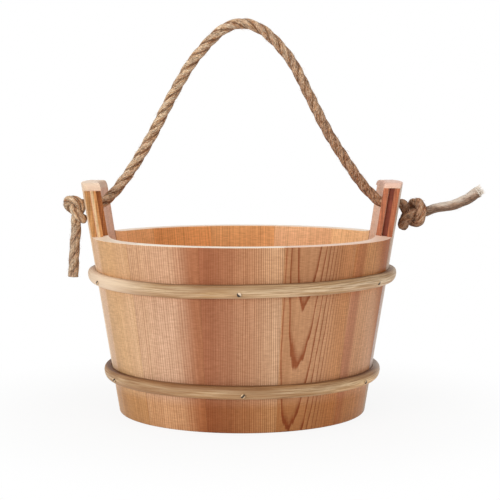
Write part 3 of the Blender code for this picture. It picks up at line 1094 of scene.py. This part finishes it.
@dataclass
class CaneHoop:
    """Half-round cane bent round the staves and scarfed at the back."""

    wall: StaveWall
    name: str
    level: float
    finish: CaneFinish
    seed: int
    lifts: tuple[Pair, ...] = ((0.0, 0.0),)
    tall: float = 12.0 * MM
    proud: float = 7.5 * MM
    fit: float = 0.3 * MM
    scarf: float = 40.0 * MM
    slit: float = 1.2 * MM
    belly: float = 2.4 * MM
    fullness: float = 0.75
    waves: tuple[int, ...] = (2, 3, 5, 7, 11, 17)
    wave_level: float = 0.25 * MM
    wave_tall: float = 0.02
    wave_proud: float = 0.025
    knuckles: int = 3
    knuckle_proud: float = 0.05
    knuckle_width: float = 0.03
    crease: float = 50.0
    steps: int = 360
    section_steps: int = 26

    def lift(self, angle: float) -> float:
        """How far the hoop strays from its level at an angle round the wall."""
        turns, rises = zip(*self.lifts)
        return float(np.interp(math.degrees(angle), turns, rises, period=360.0)) * MM

    def build(self) -> bpy.types.Object:
        """Build and dress the hoop.

        Returns:
            The hoop.
        """
        draw = random.Random(self.seed)
        waves = [(draw.uniform(0.0, 6.28), k, draw.uniform(0.3, 1.0) / k) for k in self.waves]
        bulges = [draw.uniform(0.0, TURN) for _ in range(self.knuckles)]
        girth = self.wall.radius(self.level)
        lap, slit = self.scarf / girth, self.slit / girth
        swell = self.proud - self.belly
        wrap = math.pi - math.acos((self.belly / swell) ** (1.0 / self.fullness))
        points, lies = [], []
        for step in range(self.steps + 1):
            for k in range(self.section_steps + 1):
                turn = wrap * (2.0 * k / self.section_steps - 1.0)
                bend = math.cos(turn)
                bulge = math.copysign(abs(bend) ** self.fullness, bend)
                share = max(0.0, (self.belly + swell * bulge) / self.proud)
                angle = math.pi / 2.0 + lap * (share - 0.5) + (TURN - slit) * step / self.steps
                sway = sum(size * math.sin(times * angle + shift) for shift, times, size in waves)
                aways = [(angle - place + math.pi) % TURN - math.pi for place in bulges]
                knuckle = sum(math.exp(-((away / self.knuckle_width) ** 2)) for away in aways)
                rise = math.sin(turn) * self.tall / 2.0 * (1.0 + self.wave_tall * sway)
                proud = self.proud * share * (1.0 + self.wave_proud * sway + self.knuckle_proud * knuckle)
                height = self.level + rise + self.wave_level * sway + self.lift(angle)
                reach = self.wall.radius(height) + self.fit + proud
                points.append((reach * math.cos(angle), reach * math.sin(angle), height))
                lies.append((angle * girth, turn * self.tall / 2.0, share))
        faces = tube(self.steps + 1, self.section_steps + 1, turned=True)
        obj = add_mesh(f"dressed_{self.name}", points, faces, self.crease)
        carry(obj, Lie.CANE, lies)
        dress(obj, self.finish.make(f"{self.name}_cane"), Body.BUCKET, "cane", self.name)
        return obj


@dataclass
class HoopNails:
    """Round-head nails through a hoop, one in every second stave."""

    hoop: CaneHoop
    prefix: str
    angles: tuple[float, ...]
    shank: float = 1.8 * MM
    head: float = 3.8 * MM
    head_height: float = 1.0 * MM
    head_rim: float = 0.25
    head_steps: int = 6
    stand_off: float = 0.2 * MM
    bite: float = 9.0 * MM
    drop: float = 2.2 * MM
    raised: float = 1.0 * MM
    front_bent: bool = False
    steps: int = 28

    def profile(self, depth: float) -> list[Pair]:
        """Trace a nail as radius and height.

        Args:
            depth: Length of the shank below the head.

        Returns:
            Points from the top of the head to the nail's point.
        """
        head, shank = self.head / 2.0, self.shank / 2.0
        trace = [(0.0, self.head_height)]
        for turn in quarter(self.head_steps)[1:]:
            dome = self.head_rim + (1.0 - self.head_rim) * math.cos(turn)
            trace.append((head * math.sin(turn), self.head_height * dome))
        return trace + [(head, 0.0), (shank, 0.0), (shank, self.shank - depth), (0.0, -depth)]

    def build(self) -> list[bpy.types.Object]:
        """Build and dress the nails.

        Returns:
            The nails, anticlockwise from the front.
        """
        bent = NailFinish(bright=linear(206, 176, 138), mark_offset=-1.05 * MM, rag=0.5 * MM, bent=True)
        # The bent nails show a dark slit; the front nail, unless bent, a dark crescent of painted shadow.
        slit_steel = bent.make(f"{self.prefix}_steel")
        front = slit_steel if self.front_bent else NailFinish().make(f"{self.prefix}_front_steel")
        wall, hoop = self.hoop.wall, self.hoop
        height = hoop.level - self.drop
        seat = wall.radius(hoop.level) + hoop.fit + hoop.proud + self.stand_off
        trace = self.profile(seat - wall.radius(height) + self.bite)
        rings = [[Vector((r * c, r * s, out)) for c, s in circle(self.steps)] for r, out in reversed(trace)]
        outward = Matrix.Rotation(math.pi / 2.0, 4, "Y")
        made = []
        for number, degrees in enumerate(self.angles):
            angle = math.radians(degrees)
            name = f"{self.prefix}_{number + 1}"
            obj = add_solid(f"dressed_{name}", *skin(rings))
            level = height + hoop.lift(angle) + (self.raised if number else 0.0)
            place = Matrix.Translation((seat * math.cos(angle), seat * math.sin(angle), level))
            obj.matrix_world = place @ Matrix.Rotation(angle, 4, "Z") @ outward
            dress(obj, slit_steel if number else front, Body.BUCKET, "nail_steel", name)
            made.append(obj)
        return made


@dataclass
class RopeMesh:
    """Points, lies of fibre and faces of a rope in the making."""

    points: list[tuple[float, ...]]
    lies: list[tuple[float, ...]]
    faces: list[Face]

    def add_fibre(self, line: Sequence[np.ndarray], lie: Sequence[float], thick: float) -> None:
        """Add one tapered three-sided fibre.

        Args:
            line: Points along the fibre.
            lie: Lie of the rope at its root.
            thick: Radius at its root.
        """
        run = line[-1] - line[0]
        run = run / np.linalg.norm(run)
        one = np.cross(run, np.array([0.3, 0.8, 0.5]))
        one /= np.linalg.norm(one)
        two = np.cross(run, one)
        corners = circle(3)
        self.faces += tube(len(line), len(corners), len(self.points))
        for k, spot in enumerate(line):
            thin = thick * (1.0 - 0.7 * k / (len(line) - 1))
            for across, up in corners:
                self.points.append(tuple(spot + (one * across + two * up) * thin))
                self.lies.append((lie[0], lie[1], math.floor(lie[2]) + 0.9))


def path_length(path: np.ndarray) -> float:
    """Measure along a path."""
    return float(np.linalg.norm(np.diff(path, axis=0), axis=1).sum())


@dataclass
class LaidRope:
    """Three-strand rope: one skin of three lobes that turn along a route."""

    diameter: float = 10.0 * MM
    lay: float = 45.0 * MM
    sides: int = 48
    step: float = 0.9 * MM
    strand_out: float = 0.135
    strand_round: float = 0.365
    yarn_rise: float = 0.010
    yarns: float = 9.0
    yarn_twist: float = 260.0
    slack: float = 0.55
    slack_radius: float = 0.46
    fibre: float = 0.07 * MM
    fibre_parts: Triple = (0.35, 0.7, 1.0)
    fuzz_long: Pair = (1.5 * MM, 5.0 * MM)
    fuzz_lead: Pair = (0.5, 1.0)
    fuzz_side: Pair = (-0.5, 0.5)
    fuzz_lift: Pair = (0.15, 0.75)
    fuzz_root: float = 0.3 * MM
    fray_from: Pair = (0.1, 0.95)
    fray_long: Pair = (1.5 * MM, 5.8 * MM)
    fray_fan: Pair = (-0.1, 0.45)
    fray_thick: Pair = (1.5, 3.0)
    fray_root: float = 1.0 * MM
    bare: Pair = (112.0 * MM, 150.0 * MM)
    crease: float = 80.0
    route_steps: int = 24

    def smooth(self, route: Sequence[Vector]) -> np.ndarray:
        """Run a smooth curve through route points and space it evenly.

        Args:
            route: Points that the rope passes through.

        Returns:
            Evenly spaced points.
        """
        ends = [route[0] * 2.0 - route[1], *route, route[-1] * 2.0 - route[-2]]
        fine = []
        for a, b, c, d in zip(ends, ends[1:], ends[2:], ends[3:]):
            for k in range(self.route_steps):
                t = k / self.route_steps
                bend = (a * 2.0 - b * 5.0 + c * 4.0 - d) * t * t + (b * 3.0 - a - c * 3.0 + d) * t * t * t
                fine.append((b * 2.0 + (c - a) * t + bend) * 0.5)
        fine.append(route[-1])
        line = np.array([tuple(p) for p in fine])
        gone = np.concatenate([[0.0], np.cumsum(np.linalg.norm(np.diff(line, axis=0), axis=1))])
        marks = np.linspace(0.0, gone[-1], max(8, int(gone[-1] / self.step)) + 1)
        return np.stack([np.interp(marks, gone, line[:, k]) for k in range(3)], axis=1)

    def frames(self, path: np.ndarray) -> tuple[np.ndarray, np.ndarray]:
        """Carry a pair of cross directions along a path without twist.

        Args:
            path: Points along the rope.

        Returns:
            The two cross directions at every point.
        """
        tangents = np.gradient(path, axis=0)
        tangents /= np.linalg.norm(tangents, axis=1)[:, None]
        seed = np.array([0.0, 1.0, 0.0])
        if abs(tangents[0] @ seed) > 0.9:
            seed = np.array([0.0, 0.0, 1.0])
        normal = seed - tangents[0] * (tangents[0] @ seed)
        normals = np.empty_like(path)
        for k, tangent in enumerate(tangents):
            normal = normal - tangent * (tangent @ normal)
            normal /= np.linalg.norm(normal)
            normals[k] = normal
        return normals, np.cross(tangents, normals)

    def lobe(self, angles: np.ndarray) -> np.ndarray:
        """Radius of the three-strand outline, as a share of the diameter.

        Args:
            angles: Angles about the rope, counted from a strand's crown.

        Returns:
            Radii of the outline.
        """
        third = TURN / 3.0
        local = (angles + third / 2.0) % third - third / 2.0
        inside = self.strand_round**2 - (self.strand_out * np.sin(local)) ** 2
        return self.strand_out * np.cos(local) + np.sqrt(inside)

    def build(
        self,
        name: str,
        path: np.ndarray,
        width: np.ndarray,
        wear: np.ndarray,
        fuzz: int,
        seed: int,
        fray: int = 0,
        start: float = 0.0,
    ) -> bpy.types.Object:
        """Build a length of rope with stray fibres.

        Args:
            name: Name of the piece.
            path: Evenly spaced points.
            width: Diameter at each point.
            wear: How loose and pale the rope is at each point, from 0 to 1; where it is worn the finish also
                paints light on top and shade below.
            fuzz: Number of stray fibres.
            seed: Seed of the fibres.
            fray: Number of fibres that fan out of the far end.
            start: Length of rope before this piece.

        Returns:
            The rope.
        """
        normals, binormals = self.frames(path)
        count = len(path)
        gone = (np.linspace(0.0, 1.0, count) * (count - 1) * np.linalg.norm(path[1] - path[0]))[:, None]
        around = (np.arange(self.sides) * TURN / self.sides)[None, :]
        outline = self.lobe(around - gone * TURN / self.lay)
        height = (outline - outline.min()) / (outline.max() - outline.min())
        loose = wear[:, None]
        calm = outline * (1.0 - self.slack * loose) + self.slack_radius * self.slack * loose
        yarn = self.yarn_rise * np.cos(self.yarns * around + gone * self.yarn_twist) * height
        reach = (calm + yarn) * width[:, None]
        cross = np.cos(around)[:, :, None] * normals[:, None, :]
        cross = cross + np.sin(around)[:, :, None] * binormals[:, None, :]
        points = (path[:, None, :] + cross * reach[:, :, None]).reshape(-1, 3)
        form = np.clip(np.round(loose * 10.0), 0.0, 10.0) + np.clip(height, 0.0, 0.98)
        if fray:
            form[-2:] = FRAYED * 10.0 + 0.5
        lies = np.stack(np.broadcast_arrays(around / TURN, gone + start, form), axis=2).reshape(-1, 3)
        mesh = RopeMesh(list(map(tuple, points)), list(map(tuple, lies)), tube(count, self.sides))
        draw = random.Random(seed)
        self.add_fuzz(mesh, path, cross, fuzz, draw)
        self.add_fray(mesh, path, cross, fray, draw)
        obj = add_mesh(name, mesh.points, mesh.faces, self.crease)
        carry(obj, Lie.ROPE, mesh.lies)
        return obj

    def add_fuzz(
        self, mesh: RopeMesh, path: np.ndarray, cross: np.ndarray, fuzz: int, draw: random.Random
    ) -> None:
        """Add fibres that stray from the rope's sides.

        Args:
            mesh: The rope in the making.
            path: Its middle line.
            cross: Outward directions of its points.
            fuzz: Number of fibres to try.
            draw: Source of chance.
        """
        for _ in range(fuzz):
            k = draw.randrange(1, len(path) - 1)
            j = draw.randrange(self.sides)
            out = cross[k, j]
            if abs(out[1]) > 0.5 or self.bare[0] < abs(path[k][0]) < self.bare[1]:
                continue
            root = k * self.sides + j
            base = np.array(mesh.points[root])
            run = (path[k + 1] - path[k]) / np.linalg.norm(path[k + 1] - path[k])
            side = np.cross(run, out)
            lead = run * draw.choice((-1.0, 1.0)) * draw.uniform(*self.fuzz_lead)
            lead = lead + side * draw.uniform(*self.fuzz_side)
            long = draw.uniform(*self.fuzz_long)
            lift = draw.uniform(*self.fuzz_lift)
            line = [base - out * self.fuzz_root]
            for part in self.fibre_parts:
                line.append(base + lead * long * part + out * long * lift * part * (1.2 - 0.5 * part))
            mesh.add_fibre(line, mesh.lies[root], self.fibre)

    def add_fray(
        self, mesh: RopeMesh, path: np.ndarray, cross: np.ndarray, fray: int, draw: random.Random
    ) -> None:
        """Add fibres that fan out of the rope's far end.

        Args:
            mesh: The rope in the making.
            path: Its middle line.
            cross: Outward directions of its points.
            fray: Number of fibres.
            draw: Source of chance.
        """
        ahead = (path[-1] - path[-4]) / np.linalg.norm(path[-1] - path[-4])
        for _ in range(fray):
            j = draw.randrange(self.sides)
            from_middle = draw.uniform(*self.fray_from)
            root = (len(path) - 1) * self.sides + j
            base = path[-1] + (np.array(mesh.points[root]) - path[-1]) * from_middle
            long = draw.uniform(*self.fray_long)
            fan = cross[-1, j] * draw.uniform(*self.fray_fan) * from_middle
            line = [base - ahead * self.fray_root]
            line += [base + (ahead + fan * part) * long * part for part in self.fibre_parts]
            mesh.add_fibre(line, mesh.lies[root], self.fibre * draw.uniform(*self.fray_thick))


@dataclass
class RopeEnd:
    """One end of the rope outside its ear: an overhand knot and the loose length beyond.

    The half knot is traced from its middle in rope widths: along the knot, up and towards the front. The
    knot is set at a place, tipped by a drop and turned by a roll in degrees.
    """

    side: Side
    half: tuple[Triple, ...]
    thick: float
    drawn: float
    drop: float
    roll: float
    place: Pair
    skip: int
    tail: tuple[Pair, ...]
    tail_width: Pair
    wear: float
    fray: int
    lead: float = 0.45
    tail_lead: float = 0.4
    knot_reach: float = 1.4
    ease: float = 0.05
    wear_in: float = 0.2

    def route(self, wall: StaveWall, rope: float, gap: float, tail_gap: float) -> list[Vector]:
        """List the points of the knot and the loose end.

        Args:
            wall: The wall that the rope comes out of.
            rope: The rope's diameter.
            gap: How far from the ear the rope starts.
            tail_gap: How far past the knot the loose end starts.

        Returns:
            Points from the ear to the rope's end.
        """
        drop, roll = math.radians(self.drop), math.radians(self.roll)
        along = Vector((math.cos(drop), 0.0, -math.sin(drop)))
        up = Vector((math.sin(drop), 0.0, math.cos(drop)))
        front = Vector((0.0, -1.0, 0.0))
        rise = up * math.cos(roll) + front * math.sin(roll)
        lift = front * math.cos(roll) - up * math.sin(roll)
        half = [Vector(point) * self.thick for point in self.half]
        whole = [Vector((-p.x, p.y, -p.z)) for p in reversed(half[1:])] + half
        run = [along * p.x + rise * p.y + lift * p.z for p in whole[self.skip :]]
        level = wall.hole_height
        start = Vector((self.side.value * (wall.radius(level) + gap), 0.0, level))
        centre = Vector((self.place[0], -run[0].y, self.place[1]))
        route = [start, start + Vector((self.side.value * self.thick * self.lead, 0.0, 0.0))]
        route += [centre + p for p in run]
        last = route[-1]
        heading = (route[-1] - route[-2]).normalized()
        route.append(last + heading * (tail_gap + rope * self.tail_lead))
        return route + [Vector((across, last.y, height)) for across, height in self.tail]

    def loose_from(self, path: np.ndarray) -> float:
        """Share of the end's length at which its loose part starts."""
        reach = math.hypot(self.tail[-1][0] - self.place[0], self.tail[-1][1] - self.place[1])
        return 1.0 - (reach - self.knot_reach * self.thick) / path_length(path)

    def shape(self, path: np.ndarray) -> tuple[np.ndarray, np.ndarray]:
        """Draw the rope thin in the knot and let it open along the loose end.

        Args:
            path: Points of the knot and the loose end.

        Returns:
            Diameter and wear at each point.
        """
        share = np.linspace(0.0, 1.0, len(path))
        loose = self.loose_from(path)
        past = np.clip((share - loose) / (1.0 - loose), 0.0, 1.0)
        near, far = self.tail_width
        ease = np.clip((share - loose + self.ease) / (2.0 * self.ease), 0.0, 1.0)
        width = self.drawn + (near + (far - near) * past - self.drawn) * ease
        return width, self.wear * np.clip(past / self.wear_in, 0.0, 1.0)


LEFT_END = RopeEnd(
    side=Side.LEFT,
    half=(
        (0.00, 0.95, 0.00), (-0.37, 0.94, -0.25), (-0.74, 0.87, -0.48), (-1.08, 0.64, -0.61),
        (-1.33, 0.28, -0.64), (-1.44, -0.13, -0.54), (-1.39, -0.52, -0.33), (-1.19, -0.81, -0.07),
        (-0.86, -0.94, 0.19), (-0.48, -0.90, 0.39), (-0.10, -0.70, 0.49), (0.22, -0.40, 0.45),
        (0.47, -0.12, 0.22), (0.71, 0.06, -0.10), (1.06, 0.21, -0.32), (1.52, 0.34, -0.36),
    ),
    thick=7.0 * MM,
    drawn=8.8 * MM,
    drop=74.0,
    roll=-120.0,
    place=(-0.1537, 0.1857),
    skip=2,
    tail=((-0.1545, 0.1600), (-0.1555, 0.1480), (-0.1562, 0.1360), (-0.1568, 0.1232)),
    tail_width=(9.6 * MM, 10.2 * MM),
    wear=0.4,
    fray=0,
)

RIGHT_END = RopeEnd(
    side=Side.RIGHT,
    half=(
        (0.00, 1.12, 0.00), (-0.09, 1.04, -0.41), (-0.25, 0.86, -0.76), (-0.44, 0.60, -1.05),
        (-0.62, 0.26, -1.24), (-0.75, -0.14, -1.29), (-0.80, -0.56, -1.21), (-0.80, -0.91, -0.98),
        (-0.80, -1.10, -0.59), (-0.72, -1.11, -0.17), (-0.53, -0.99, 0.19), (-0.26, -0.75, 0.43),
        (0.04, -0.46, 0.50), (0.32, -0.16, 0.38), (0.49, 0.13, 0.12), (0.71, 0.42, -0.09),
        (1.10, 0.53, -0.14),
    ),
    thick=8.8 * MM,
    drawn=9.6 * MM,
    drop=5.0,
    roll=-45.0,
    place=(0.1570, 0.1822),
    skip=1,
    tail=((0.1800, 0.1872), (0.1925, 0.1890), (0.2070, 0.1945), (0.2185, 0.2020)),
    tail_width=(8.6 * MM, 11.0 * MM),
    wear=0.9,
    fray=170,
)


@dataclass
class RopeHandle:
    """Rope through both ears: the arch between them, and a knot and a loose end outside each."""

    wall: StaveWall
    rope: LaidRope
    gap: float = 0.4 * MM
    tail_gap: float = 1.3 * MM
    arch: tuple[Pair, ...] = (
        (-0.1145, 0.0150), (-0.0984, 0.0373), (-0.0811, 0.0666), (-0.0661, 0.0958), (-0.0493, 0.1250),
        (-0.0382, 0.1395), (-0.0252, 0.1535), (-0.0130, 0.1622), (0.0009, 0.1652), (0.0146, 0.1615),
        (0.0265, 0.1530), (0.0393, 0.1391), (0.0493, 0.1245), (0.0640, 0.0953), (0.0792, 0.0659),
        (0.0981, 0.0364), (0.1125, 0.0165),
    )
    hole_stops: Pair = (0.6, 0.3)
    mouth_lead: Pair = (0.4, 0.36)
    arch_fuzz: int = 1100
    arch_seed: int = 12
    ends: tuple[RopeEnd, ...] = (LEFT_END, RIGHT_END)
    end_fuzz: int = 360
    end_seed: int = 24

    def arch_route(self) -> list[Vector]:
        """List the points of the rope between the ears.

        Returns:
            Points from the left ear's outside to the right ear's.
        """
        level, wall, thick = self.wall.hole_height, self.wall.wall, self.rope.diameter
        outside = self.wall.radius(level)
        mouth = outside - wall
        half = [(outside - self.gap, 0.0)] + [(mouth + wall * stop, 0.0) for stop in self.hole_stops]
        half.append((mouth - thick * self.mouth_lead[0], thick * self.mouth_lead[1]))
        trace = [(-across, above) for across, above in half] + list(self.arch) + half[::-1]
        return [Vector((across, 0.0, level + above)) for across, above in trace]

    def build(self) -> list[bpy.types.Object]:
        """Returns:
            The arch, the left end and the right end.
        """
        finish = RopeFinish(lay=self.rope.lay).make("rope_jute")
        thick = self.rope.diameter
        path = self.rope.smooth(self.arch_route())
        width, wear = np.full(len(path), thick), np.zeros(len(path))
        arch = self.rope.build("handle_rope", path, width, wear, self.arch_fuzz, self.arch_seed)
        dress(arch, finish, Body.HANDLE, "rope", "rope_arch")
        made = [arch]
        # The right end counts on from the arch's length, so that the painted shade of the rope's right part
        # carries on along it.
        starts = {Side.LEFT: 0.0, Side.RIGHT: path_length(path)}
        for number, end in enumerate(self.ends):
            path = self.rope.smooth(end.route(self.wall, thick, self.gap, self.tail_gap))
            word, seed, start = end.side.name.lower(), self.end_seed + number, starts[end.side]
            piece = self.rope.build(
                f"{word}_rope_end", path, *end.shape(path), self.end_fuzz, seed, end.fray, start
            )
            dress(piece, finish, Body.BUCKET, "rope", f"{word}_knot", f"{word}_tail")
            made.append(piece)
        return made


@dataclass
class Studio:
    """Camera, soft light and a white sweep."""

    eye: Triple = (0.0073, -1.3262, 0.26453)
    pitch: float = 5.016
    lens: float = 103.34
    sensor: float = 36.0
    nearest: float = 0.05
    floor_size: float = 40.0
    floor_gap: float = 0.2 * MM
    floor_grey: float = 0.80
    floor_glow: float = 0.90
    shadow: Pair = (0.16, 0.34)
    lamp: Colour = (1.0, 0.985, 0.945)
    lamps: tuple[tuple[str, Triple, float, float], ...] = (
        ("key_softbox", (-1.4, -1.9, 0.50), 1.3, 31.0),
        ("fill_softbox", (1.6, -1.5, 0.40), 1.4, 7.5),
        ("top_softbox", (0.0, -0.2, 1.6), 1.0, 8.0),
    )
    aim: Triple = (0.0, 0.0, 0.13)
    world_light: float = 0.42

    def camera(self) -> None:
        """Set up the camera at the photograph's viewing angle."""
        data = bpy.data.cameras.new("studio_camera")
        data.sensor_width = self.sensor
        data.lens = self.lens
        data.clip_start = self.nearest
        camera = link("studio_camera", data)
        camera.location = self.eye
        camera.rotation_euler = (math.radians(90.0 - self.pitch), 0.0, 0.0)
        bpy.context.scene.camera = camera

    def floor(self) -> None:
        """Lay the pale floor, white to the camera but keeping the object's shadow."""
        half, low = self.floor_size / 2.0, -self.floor_gap
        corners = [(-half, -half, low), (half, -half, low), (half, half, low), (-half, half, low)]
        floor = add_mesh("studio_floor", corners, [(0, 1, 2, 3)])
        sheet = Sheet("white_floor")
        grey = self.floor_grey
        sheet.put(Base_Color=(grey, grey, grey), Roughness=0.9, Specular_IOR_Level=0.0)
        path = sheet.node("LightPath").outputs
        seen = sheet.most(*(path[f"Is {ray} Ray"] for ray in ("Camera", "Glossy", "Transmission")))
        x, y, _ = sheet.split(sheet.node("TexCoord").outputs["Object"])
        away = sheet.step(sheet.span(x, y), *self.shadow)
        share = sheet.times(seen, sheet.scale(away, 1.0 - self.floor_glow, self.floor_glow))
        glow = sheet.node("Emission").outputs[0]
        blend = sheet.node("MixShader", share, sheet.shader.outputs[0], glow)
        sheet.feed(blend.outputs[0], sheet.tree.nodes["Material Output"].inputs[0])
        floor.data.materials.append(sheet.owner)

    def light(self) -> None:
        """Hang the soft lamps and set the white world."""
        for name, place, size, power in self.lamps:
            data = bpy.data.lights.new(name, "AREA")
            data.size = size
            data.energy = power
            data.color = self.lamp
            lamp = link(name, data)
            lamp.location = place
            aim = Vector(self.aim) - Vector(place)
            lamp.rotation_euler = aim.to_track_quat("-Z", "Y").to_euler()
        sheet = Sheet("white_world", world=True)
        path = sheet.node("LightPath").outputs
        seen = sheet.most(path["Is Camera Ray"], path["Is Glossy Ray"])
        strength = sheet.node("MapRange", seen, 0.0, 1.0, self.world_light, 1.0).outputs[0]
        sheet.put(Color=(1.0, 1.0, 1.0), Strength=strength)
        bpy.context.scene.world = sheet.owner
        bpy.context.scene.view_settings.view_transform = "Standard"


def stave_grains(wall: StaveWall) -> dict[int, WoodFinish]:
    """Choose the cut and colour of every stave's board.

    Args:
        wall: The wall that the boards make.

    Returns:
        Finishes by stave number, anticlockwise from the right ear.
    """
    board = partial(WoodFinish, face=wall.base_radius, slope=wall.slope)
    left_top, right_top = (wall.height + wall.ear_rise - cap for cap in wall.ear_caps)
    boards: dict[int, WoodFinish] = {
        7: board(
            pith=(0.24, 0.12), ring=2.4 * MM, seed=5.0, contrast=0.6,
            early=linear(214, 172, 126), late=linear(184, 130, 86),
            flanks=(linear(212, 168, 118), linear(220, 180, 142)),
            # A pale strip of painted reflection at the left edge, where the board is seen edge-on.
            bands=((-25.0 * MM, 14.0 * MM, linear(226, 192, 162), 0.85),),
        ),
        8: board(
            pith=(-0.22, 0.09), ring=2.2 * MM, seed=4.0, contrast=0.75,
            early=linear(220, 180, 150), late=linear(166, 108, 76),
            flanks=(linear(216, 176, 142), linear(172, 112, 78)),
            rim=linear(255, 246, 230), foot=(0.92, 0.80, 0.62),
        ),
        9: board(
            pith=(0.28, 0.10), ring=1.8 * MM, uneven=1.0, seed=1.0, contrast=0.85,
            early=linear(198, 148, 114), late=linear(152, 92, 60),
            flanks=(linear(166, 106, 76), linear(222, 180, 144)),
            bands=((-14.0 * MM, 15.0 * MM, linear(158, 98, 70), 0.45),),
            rim=linear(255, 246, 230), crest=(1.02, 0.96, 0.88), foot=(0.78, 0.63, 0.44),
        ),
        10: board(
            pith=(-0.0148, 0.0294), lean=(0.02, -0.055), ring=8.29 * MM, tighten=0.6, uneven=0.0, onset=0.68,
            seed=2.0, contrast=1.1, wander=0.2 * MM, ripple=1.6 * MM, fade_from=0.029,
            early=linear(212, 160, 120), late=linear(156, 88, 54),
            flanks=(linear(200, 148, 108), linear(218, 156, 108)),
            rim=linear(246, 218, 198), crest=(0.87, 0.80, 0.74),
        ),
        11: board(
            pith=(-0.25, 0.14), ring=2.8 * MM, seed=3.0, contrast=0.65, skew=0.25,
            early=linear(228, 174, 132), late=linear(172, 110, 72),
            flanks=(linear(224, 168, 126), linear(182, 104, 38)),
            bands=(
                (-26.0 * MM, 11.0 * MM, linear(184, 112, 88), 0.55),
                # A pale grey strip of painted reflection at the right edge, where the board is seen edge-on.
                (36.0 * MM, 7.0 * MM, linear(222, 208, 202), 0.85),
            ),
            rim=linear(246, 218, 198), crest=(0.92, 0.79, 0.58), foot=(0.82, 0.68, 0.46),
        ),
        0: board(
            pith=(0.18, 0.10), ring=2.2 * MM, seed=6.0, contrast=0.45,
            early=linear(226, 206, 190), late=linear(190, 136, 106), back=linear(238, 202, 180),
            # Its groove is painted dark: painted shade in the recess.
            edge=linear(172, 102, 70), inside=linear(176, 106, 74), groove=linear(136, 70, 52),
            rim=linear(228, 188, 170), cap_from=right_top,
        ),
        6: board(
            pith=(-0.20, 0.10), ring=2.4 * MM, seed=7.0, contrast=0.4,
            early=linear(232, 200, 166), late=linear(206, 160, 124), back=linear(232, 190, 166),
            rim=linear(236, 210, 186), cap_from=left_top,
        ),
    }
    for index, early, back, late in (
        (1, linear(206, 158, 118), linear(250, 204, 154), linear(200, 140, 94)),
        (2, linear(212, 164, 124), linear(246, 196, 152), linear(202, 142, 98)),
        (3, linear(198, 148, 108), linear(240, 178, 120), linear(194, 128, 78)),
        (4, linear(204, 152, 112), linear(250, 178, 114), linear(200, 128, 76)),
        (5, linear(210, 160, 120), linear(254, 192, 134), linear(206, 138, 88)),
    ):
        pith = (0.2 * (-1.0) ** index, 0.06 + 0.02 * index)
        boards[index] = board(
            pith=pith, ring=2.3 * MM, seed=10.0 + index, contrast=0.5, early=early, back=back, late=late
        )
    return boards


def cane_hoops(wall: StaveWall) -> list[tuple[CaneHoop, HoopNails]]:
    """Choose the height, cane and nails of both hoops.

    Args:
        wall: The wall that they hold.

    Returns:
        The upper and the lower hoop, each with its nails.
    """
    # The upper hoop's cane, with painted highlights where it turns away at the left and at the right.
    pale = CaneFinish(
        seed=3.0,
        ends=(
            (0.570, 0.490, 0.34, linear(244, 218, 190), 0.82),
            (0.785, 0.840, 0.95, linear(226, 208, 188), 0.48),
        ),
    )
    # The lower hoop's cane, with stronger painted shade on its upper half, painted light low at the right, a
    # painted shadow left of the front and a painted highlight at the right.
    shaded_lower_cane = CaneFinish(
        seed=8.0,
        above=(0.64, 0.50, 0.36),
        below=(1.06, 1.00, 0.92),
        ends=(
            (0.575, 0.500, 0.42, linear(140, 94, 56), 0.38),
            (0.700, 0.750, 0.84, linear(228, 216, 204), 0.58),
        ),
        glow=(0.62, 0.70, (1.55, 1.52, 1.36)),
    )
    strays = (
        (0.0, 2.0), (40.0, 1.2), (90.0, 0.8), (150.0, 1.2), (180.0, 1.6), (200.0, 0.8), (215.0, -0.3),
        (245.0, -1.0), (262.0, -0.2), (280.0, 0.5), (300.0, 0.9), (320.0, 1.6), (345.0, 2.0),
    )
    upper = CaneHoop(wall, "hoop_upper", 125.2 * MM, pale, 3, strays)
    lower = CaneHoop(wall, "hoop_lower", 37.3 * MM, shaded_lower_cane, 8)
    return [
        (upper, HoopNails(upper, "nail_upper", (-90.7, -32.1, 30.0, 90.0, 150.0, 205.7))),
        (lower, HoopNails(lower, "nail_lower", (-89.4, -30.6, 30.0, 90.0, 150.0, 207.0), front_bent=True)),
    ]


def main() -> None:
    """Build the bucket piece by piece."""
    logging.basicConfig(level=logging.INFO, format="%(name)s: %(message)s")
    studio = Studio()
    studio.camera()
    wall = StaveWall()
    wall.grains = stave_grains(wall)
    pieces = RopeHandle(wall, LaidRope()).build()
    pieces += wall.build()
    pieces += BottomBoards(wall).build()
    for hoop, nails in cane_hoops(wall):
        pieces.append(hoop.build())
        pieces += nails.build()
    studio.floor()
    studio.light()
    for piece in pieces:
        LOG.info("%s: %d faces", piece.name, len(piece.data.polygons))


if __name__ == "__main__":
    main()
